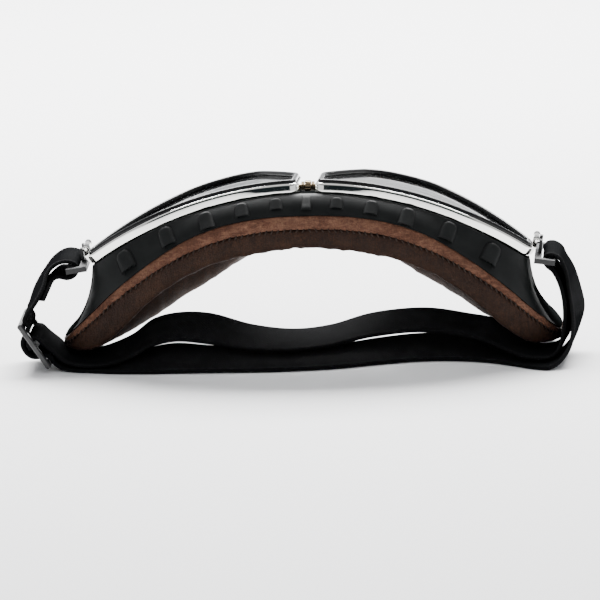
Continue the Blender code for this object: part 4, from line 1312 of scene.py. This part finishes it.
def seam_stitches():
    """Slanting whip stitches over the seam between the band and the face cover."""
    line = closed_spline(pad_row(-0.25, b + 0.35), [PAD_FINE] * STATIONS)
    out = closed_spline(SEAM - OUT * 5, [PAD_FINE] * STATIONS)
    out = closed_spline(SEAM, [PAD_FINE] * STATIONS) - out
    out /= np.linalg.norm(out, axis=1)[:, None]
    down = closed_spline(pad_row(0, 3.0), [PAD_FINE] * STATIONS) - closed_spline(
        pad_row(0, 0.0), [PAD_FINE] * STATIONS
    )
    down /= np.linalg.norm(down, axis=1)[:, None]
    seg = np.linalg.norm(np.roll(line, -1, 0) - line, axis=1)
    s = np.concatenate([[0], np.cumsum(seg)])
    total = s[-1]
    count = round(total / 2.35)
    parts = []
    idx = np.arange(len(line) + 1)
    for k in range(count):
        d = (k + 0.5) * total / count + 0.2 * math.sin(k * 12.9898)
        f = np.interp(d, s, idx)
        i, t = int(f) % len(line), f - int(f)
        j = (i + 1) % len(line)
        c = line[i] * (1 - t) + line[j] * t
        o = out[i] * (1 - t) + out[j] * t
        dn = down[i] * (1 - t) + down[j] * t
        tan = line[j] - line[i]
        tan /= np.linalg.norm(tan)
        side = 1 if c[0] > 0 else -1
        size = 0.9 + 0.12 * math.sin(k * 7.1)
        pts = []
        for q in (-1.0, -0.6, 0.0, 0.6, 1.0):
            pts.append(
                c
                + dn * (q * 0.82 * size + 0.05)
                + tan * (q * 0.42 * side)
                + o * (0.42 * (1 - q * q) - 0.12)
            )
        parts.append(tube(pts, 0.26, 6, 0.6))
    return joined(parts)


stitches = make("pad_stitches", *seam_stitches(), THREAD, 60)
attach(stitches, "mask")

# ------------------------------------------------------------------ strap
ST, SH, SC = (np.array(v, float) for v in (SLIDER_T, SLIDER_H, SLIDER_AT))
LEVEL = (0.0, 1.0, 0.0)


def at_slider(t, hgt, width=LEVEL):
    p = SC + ST * t + SH * hgt
    return (p[0], SC[1], p[2], *width)


def across(lean, yaw=0.0):
    a, b_ = math.radians(lean), math.radians(yaw)
    return (math.sin(b_) * math.cos(a), math.cos(b_) * math.cos(a), math.sin(a))


def at_loop(sign, r, t, y=-1.5, width=LEVEL):
    a = math.radians(LOOP_DROOP)
    x = HINGE_X + r * math.cos(a) + t * math.sin(a)
    return (sign * x, y, HINGE_Z - r * math.sin(a) + t * math.cos(a), *width)


ROUTE = [
    at_slider(0.8, -2.3),
    at_slider(-1.7, -2.0),
    at_slider(-2.75, 0.0),
    at_slider(-1.9, 2.1),
    at_slider(0.6, 2.75),
    at_slider(3.2, 3.4),
    at_slider(6.8, 4.5),
    (-94.6, -18.0, 5.0, *LEVEL),
    (-91.0, -19.6, 3.7, *LEVEL),
    (-85.5, -21.5, 3.4, *across(1)),
    (-77.0, -20.5, 4.4, *across(6)),
    (-68.5, -15.6, 6.6, *across(9)),
    (-61.0, -10.8, 10.6, *across(12)),
    (-52.0, -8.6, 12.2, *across(12.5)),
    (-40.0, -8.5, 11.4, *across(14)),
    (-24.0, -10.5, 8.0, *across(10)),
    (-8.0, -10.5, 6.7, *across(6)),
    (6.0, -7.0, 7.3, *across(6)),
    (22.0, -1.0, 10.0, *across(8)),
    (42.0, 0.0, 11.4, *across(8)),
    (60.0, -7.0, 10.2, *across(8)),
    (68.0, -12.2, 9.3, *across(10)),
    (74.5, -17.4, 7.2, *across(9)),
    (82.0, -22.2, 4.0, *across(2)),
    (87.5, -23.3, 3.3, *LEVEL),
    (91.0, -22.2, 3.4, *across(0, 2)),
    (94.2, -20.2, 5.1, *across(-2, 3)),
    (96.3, -16.6, 8.9, *across(-6, 5)),
    (97.6, -11.5, 14.8, *across(-8, 7)),
    (96.9, -7.2, 22.0, *across(-6, 6)),
    (94.6, -4.0, 28.2, *across(-3, 3)),
    at_loop(1, 7.3, -9.3, -2.0),
    at_loop(1, 5.4, -8.3),
    at_loop(1, 3.9, -6.2),
    at_loop(1, 4.45, -3.95),
    at_loop(1, 6.6, -3.35),
    at_loop(1, 9.6, -4.6),
    at_loop(1, 11.4, -7.3, -1.8),
    (97.8, -3.0, 30.4, *across(-3, 4)),
    (99.5, -6.4, 24.0, *across(-6, 8)),
    (100.8, -11.8, 17.6, *across(-8, 9)),
    (100.1, -18.0, 11.5, *across(-6, 4)),
    (97.9, -24.0, 6.1, *across(-3, 2)),
    (94.0, -28.4, 2.5, *across(0, 2)),
    (89.5, -30.2, 0.95, *LEVEL),
    (83.5, -27.6, 0.95, *LEVEL),
    (77.0, -22.6, 0.95, *LEVEL),
    (69.0, -17.0, 1.95, *across(4)),
    (58.0, -12.8, 3.0, *across(9)),
    (42.0, -11.8, 3.4, *across(11)),
    (26.0, -16.0, 3.2, *across(10)),
    (10.0, -22.0, 2.7, *across(7.5)),
    (-10.0, -25.3, 2.4, *across(6)),
    (-24.0, -25.6, 2.6, *across(7)),
    (-40.0, -25.5, 3.3, *across(10)),
    (-53.0, -25.4, 3.7, *across(13)),
    (-65.0, -25.0, 2.5, *across(7)),
    (-77.0, -23.2, 0.95, *LEVEL),
    (-83.5, -21.5, 0.95, *LEVEL),
    (-90.0, -19.5, 0.95, *LEVEL),
    (-94.0, -18.1, 1.45, *LEVEL),
    at_slider(9.6, 2.15),
    at_slider(7.9, 2.15),
    at_slider(6.5, 1.85),
    at_slider(5.4, 0.4),
    at_slider(4.7, -1.4),
    at_slider(3.4, -3.3),
    at_slider(1.6, -4.25),
    at_slider(0.0, -4.4),
    at_slider(-1.8, -4.2),
    at_slider(-3.6, -3.2),
    at_slider(-4.9, -1.4),
    at_slider(-5.5, 0.4),
    at_slider(-6.6, 1.85),
    at_slider(-8.0, 2.15),
    at_slider(-10.0, 2.2),
    (-105.6, -14.2, 24.4, *across(-11, -10)),
    (-103.4, -9.8, 29.4, *across(-11, -12)),
    (-101.3, -5.4, 33.8, *across(-7, -6)),
    (-98.4, -2.4, 37.2, *across(-2, -2)),
    at_loop(-1, 9.7, -2.5),
    at_loop(-1, 6.7, -2.7),
    at_loop(-1, 4.45, -3.95),
    at_loop(-1, 3.9, -6.2),
    at_loop(-1, 5.4, -8.3),
    at_loop(-1, 7.9, -9.0, -1.7),
    (-96.4, -2.6, 33.2, *across(-2, -2)),
    (-99.2, -4.9, 31.6, *across(-7, -6)),
    (-101.7, -8.9, 28.3, *across(-11, -12)),
    (-103.6, -12.6, 24.4, *across(-11, -12)),
]


def strap_frames(step):
    pts = open_spline(ROUTE, step)
    c, wide = pts[:, :3], pts[:, 3:]
    c[:, 2] = np.maximum(c[:, 2], STRAP_REST)
    tan = np.gradient(c, axis=0)
    tan /= np.linalg.norm(tan, axis=1)[:, None]
    wide = wide / np.linalg.norm(wide, axis=1)[:, None]
    nor = np.cross(tan, wide)
    nor /= np.linalg.norm(nor, axis=1)[:, None]
    s = np.concatenate([[0], np.cumsum(np.linalg.norm(np.diff(c, axis=0), axis=1))])
    return c, wide, nor, s


C, WIDE, NOR, ALONG = strap_frames(0.9)


def webbing_section():
    """Half widths and half thicknesses round the webbing, with rolled selvedges."""
    a, t = STRAP_W / 2, STRAP_T / 2
    out = []
    for k in range(25):
        u = -a + 0.75 + (2 * a - 1.5) * k / 24
        out.append((u, -t * (0.93 if 1 < k < 23 else 1.0)))
    out += [(a - 0.32, -t * 0.86), (a - 0.06, -t * 0.45), (a, 0.0), (a - 0.06, t * 0.45), (a - 0.32, t * 0.86)]
    for k in range(25):
        u = a - 0.75 - (2 * a - 1.5) * k / 24
        out.append((u, t * (0.93 if 1 < k < 23 else 1.0)))
    out += [(-a + 0.32, t * 0.86), (-a + 0.06, t * 0.45), (-a, 0.0), (-a + 0.06, -t * 0.45), (-a + 0.32, -t * 0.86)]
    return out


SECTION = webbing_section()


def strap_piece(name, i0, i1):
    verts, uvs, faces = [], [], []
    m = len(SECTION)
    for i in range(i0, i1 + 1):
        # slight waviness of the selvedges; the soft ripple of the web is computed but multiplied by zero
        wave = 0.16 * math.sin(ALONG[i] * 0.21) + 0.12 * math.sin(ALONG[i] * 0.53 + 1.0)
        for u, v in SECTION:
            edge = abs(u) / (STRAP_W / 2)
            ripple = 0.1 * noise.noise(Vector((ALONG[i] * 0.11, u * 0.13, 2.0))) * (1 if v > 0 else 0.4)
            p = C[i] + WIDE[i] * (u * (1 - 0.006 * edge * (1 + wave))) + NOR[i] * (v + ripple * edge * 0.0)
            verts.append((p[0], p[1], max(p[2], STRAP_REST - STRAP_T / 2)))
            uvs.append((ALONG[i] * MM, (u if v >= 0 else -u) * MM + 0.02))
    n = i1 - i0 + 1
    for i in range(n - 1):
        for j in range(m):
            faces.append((i * m + j, i * m + (j + 1) % m, (i + 1) * m + (j + 1) % m, (i + 1) * m + j))
    faces.append(tuple(range(m))[::-1])
    faces.append(tuple(range((n - 1) * m, n * m)))
    o = make(name, verts, faces, WEBBING, 50, uvs)
    return o


def nearest(p, lo=0, hi=None):
    d = np.linalg.norm(C - np.array(p), axis=1)
    d[:lo] = 1e9
    if hi is not None:
        d[hi:] = 1e9
    return int(d.argmin())


mid_right = nearest(at_loop(1, 3.9, -6.2)[:3])
r0 = nearest((94.2, -20.2, 5.1), 0, mid_right)
r1 = nearest((97.9, -24.0, 6.1), mid_right)
l0 = nearest(tuple((SC + ST * -10.0 + SH * 2.2)), r1)
last = len(C) - 1

strap_a = strap_piece("strap_upper_layer", 0, r0)
strap_b = strap_piece("strap_right_loop", r0, r1)
strap_c = strap_piece("strap_lower_layer", r1, l0)
strap_d = strap_piece("strap_left_loop", l0, last)
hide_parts("strap_webbing")
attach(strap_a, "mask")
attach(strap_c, "mask")
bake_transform(strap_b)
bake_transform(strap_d)


def sewn_rows(i_from, i_to, top, name, body_pair=None):
    """Box stitching through two layers of webbing where an end is sewn back."""
    parts = []
    for u in (-9.8, 9.8):
        for i in range(i_from, i_to, 3):
            j = min(i + 2, i_to)
            a, c = C[i] + WIDE[i] * u, C[j] + WIDE[j] * u
            o = NOR[i] * (STRAP_T / 2 * top)
            parts.append(tube([a + o * 0.9, (a + c) / 2 + o * 1.12, c + o * 0.9], 0.2, 6, 0.7))
    for i in (i_from, i_to):
        for k in range(-9, 9, 2):
            a, c = C[i] + WIDE[i] * k, C[i] + WIDE[i] * (k + 1.5)
            o = NOR[i] * (STRAP_T / 2 * top)
            parts.append(tube([a + o * 0.9, (a + c) / 2 + o * 1.12, c + o * 0.9], 0.2, 6, 0.7))
    o = make(name, *joined(parts), BLACK_THREAD, 60)
    return o


tail = sewn_rows(last - 12, last - 2, -1, "tail_stitches_in")
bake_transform(tail)
tail = sewn_rows(last - 12, last - 2, 1, "tail_stitches_out")
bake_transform(tail)

# ------------------------------------------------------------------ CAD pieces that stay
for name, mat in (
    ("left_strap_loop", LOOP),
    ("right_strap_loop", LOOP),
    ("left_hinge_pin", CHROME),
    ("right_hinge_pin", CHROME),
    ("left_bridge_nut", BRASS),
    ("right_bridge_nut", BRASS),
    ("bridge_adjuster", BRASS),
    ("left_retaining_ring", STEEL),
    ("right_retaining_ring", STEEL),
    ("strap_slider", PLASTIC),
):
    o = NODES[name]
    o.data.materials.clear()
    o.data.materials.append(mat)

# ------------------------------------------------------------------ camera, floor and light
scene = bpy.context.scene
AZ, EL, ROLL = math.radians(3.4), math.radians(12.0), math.radians(1.74)
DIST = 2.8
back = Vector((math.sin(AZ) * math.cos(EL), -math.cos(AZ) * math.cos(EL), math.sin(EL)))
right = Vector((math.cos(AZ), math.sin(AZ), 0))
up = back.cross(right)
look = at(0, 0, 0) + up * 0.0196 - right * 0.00513
right_r = right * math.cos(ROLL) - up * math.sin(ROLL)
up_r = up * math.cos(ROLL) + right * math.sin(ROLL)
cam = bpy.data.cameras.new("camera")
cam_o = bpy.data.objects.new("camera", cam)
scene.collection.objects.link(cam_o)
m = Matrix((right_r, up_r, back)).transposed().to_4x4()
m.translation = look + back * DIST
cam_o.matrix_world = m
cam.lens = 440.0
cam.sensor_width = 36.0
cam.clip_start, cam.clip_end = 0.02, 60
scene.camera = cam_o


def floor_material():
    n = Nodes("pale_floor")
    p = n.position()
    soft = n.noise(p, 6.0, 3)
    return n.out(
        color=n.mix(soft, (0.86, 0.86, 0.865), (0.88, 0.88, 0.88)),
        rough=0.75,
        spec=0.2,
        normal=n.bump(n.noise(p, 500.0, 2), 0.0001, 0.1),
    )


me = bpy.data.meshes.new("floor")
me.from_pydata([(-12, -12, 0), (12, -12, 0), (12, 12, 0), (-12, 12, 0)], [], [(0, 1, 2, 3)])
me.materials.append(floor_material())
floor = bpy.data.objects.new("floor", me)
scene.collection.objects.link(floor)

world = bpy.data.worlds.new("studio")
scene.world = world
world.use_nodes = True
wt = world.node_tree
bg = wt.nodes["Background"]
tc = wt.nodes.new("ShaderNodeTexCoord")
sp = wt.nodes.new("ShaderNodeSeparateXYZ")
wt.links.new(tc.outputs["Generated"], sp.inputs[0])


def step(socket, a, b, lo=0.0, hi=1.0):
    n = wt.nodes.new("ShaderNodeMapRange")
    n.interpolation_type = "SMOOTHSTEP"
    for k, v in (("From Min", a), ("From Max", b), ("To Min", lo), ("To Max", hi)):
        n.inputs[k].default_value = v
    wt.links.new(socket, n.inputs["Value"])
    return n.outputs[0]


def combine(kind, a, b):
    n = wt.nodes.new("ShaderNodeMath")
    n.operation = kind
    for i, v in enumerate((a, b)):
        if isinstance(v, (int, float)):
            n.inputs[i].default_value = v
        else:
            wt.links.new(v, n.inputs[i])
    return n.outputs[0]


# a pale room, dimmer high up on the camera's side, with pale walls low at its left and right
# and one dark place straight behind the camera
dim = combine("MAXIMUM", step(sp.outputs["Y"], -0.35, 0.25), step(sp.outputs["Z"], 0.45, 0.85))
level = combine("ADD", combine("MULTIPLY", dim, 0.88), 0.12)
side = combine("ABSOLUTE", sp.outputs["X"], 0.0)
wall = combine("MULTIPLY", step(side, 0.3, 0.46), step(sp.outputs["Z"], 0.3, 0.46, 0.85, 0.0))
level = combine("MAXIMUM", level, wall)
# the far wall, which the lenses mirror, is the brightest and the ceiling is quieter
glow = combine("MULTIPLY", step(sp.outputs["Y"], 0.2, 0.5), step(sp.outputs["Z"], 0.5, 0.75, 0.55, 0.0))
level = combine("MULTIPLY", level, combine("ADD", glow, step(sp.outputs["Z"], 0.6, 0.9, 1.0, 0.72)))
patch = combine("MAXIMUM", step(side, 0.26, 0.42), step(sp.outputs["Z"], 0.34, 0.5))
patch = combine("MAXIMUM", patch, step(sp.outputs["Y"], -0.6, -0.4))
level = combine("MULTIPLY", level, combine("ADD", combine("MULTIPLY", patch, 0.93), 0.07))
tone = wt.nodes.new("ShaderNodeMix")
tone.data_type = "RGBA"
wt.links.new(level, tone.inputs["Factor"])
tone.inputs[6].default_value = (0.0, 0.004, 0.006, 1)
tone.inputs[7].default_value = (0.97, 0.98, 1.0, 1)
wt.links.new(tone.outputs[2], bg.inputs["Color"])
bg.inputs["Strength"].default_value = 1.3


def area(name, place, target, size, power, colour=(1, 1, 1)):
    light = bpy.data.lights.new(name, "AREA")
    light.shape = "RECTANGLE"
    light.size, light.size_y = size
    light.energy = power
    light.color = colour
    o = bpy.data.objects.new(name, light)
    o.location = place
    o.rotation_mode = "QUATERNION"
    o.rotation_quaternion = (Vector(place) - Vector(target)).to_track_quat("Z", "Y")
    scene.collection.objects.link(o)
    return o


area("softbox_top", (0.0, 0.85, 1.0), (0, 0, 0.03), (1.3, 0.6), 100.0)
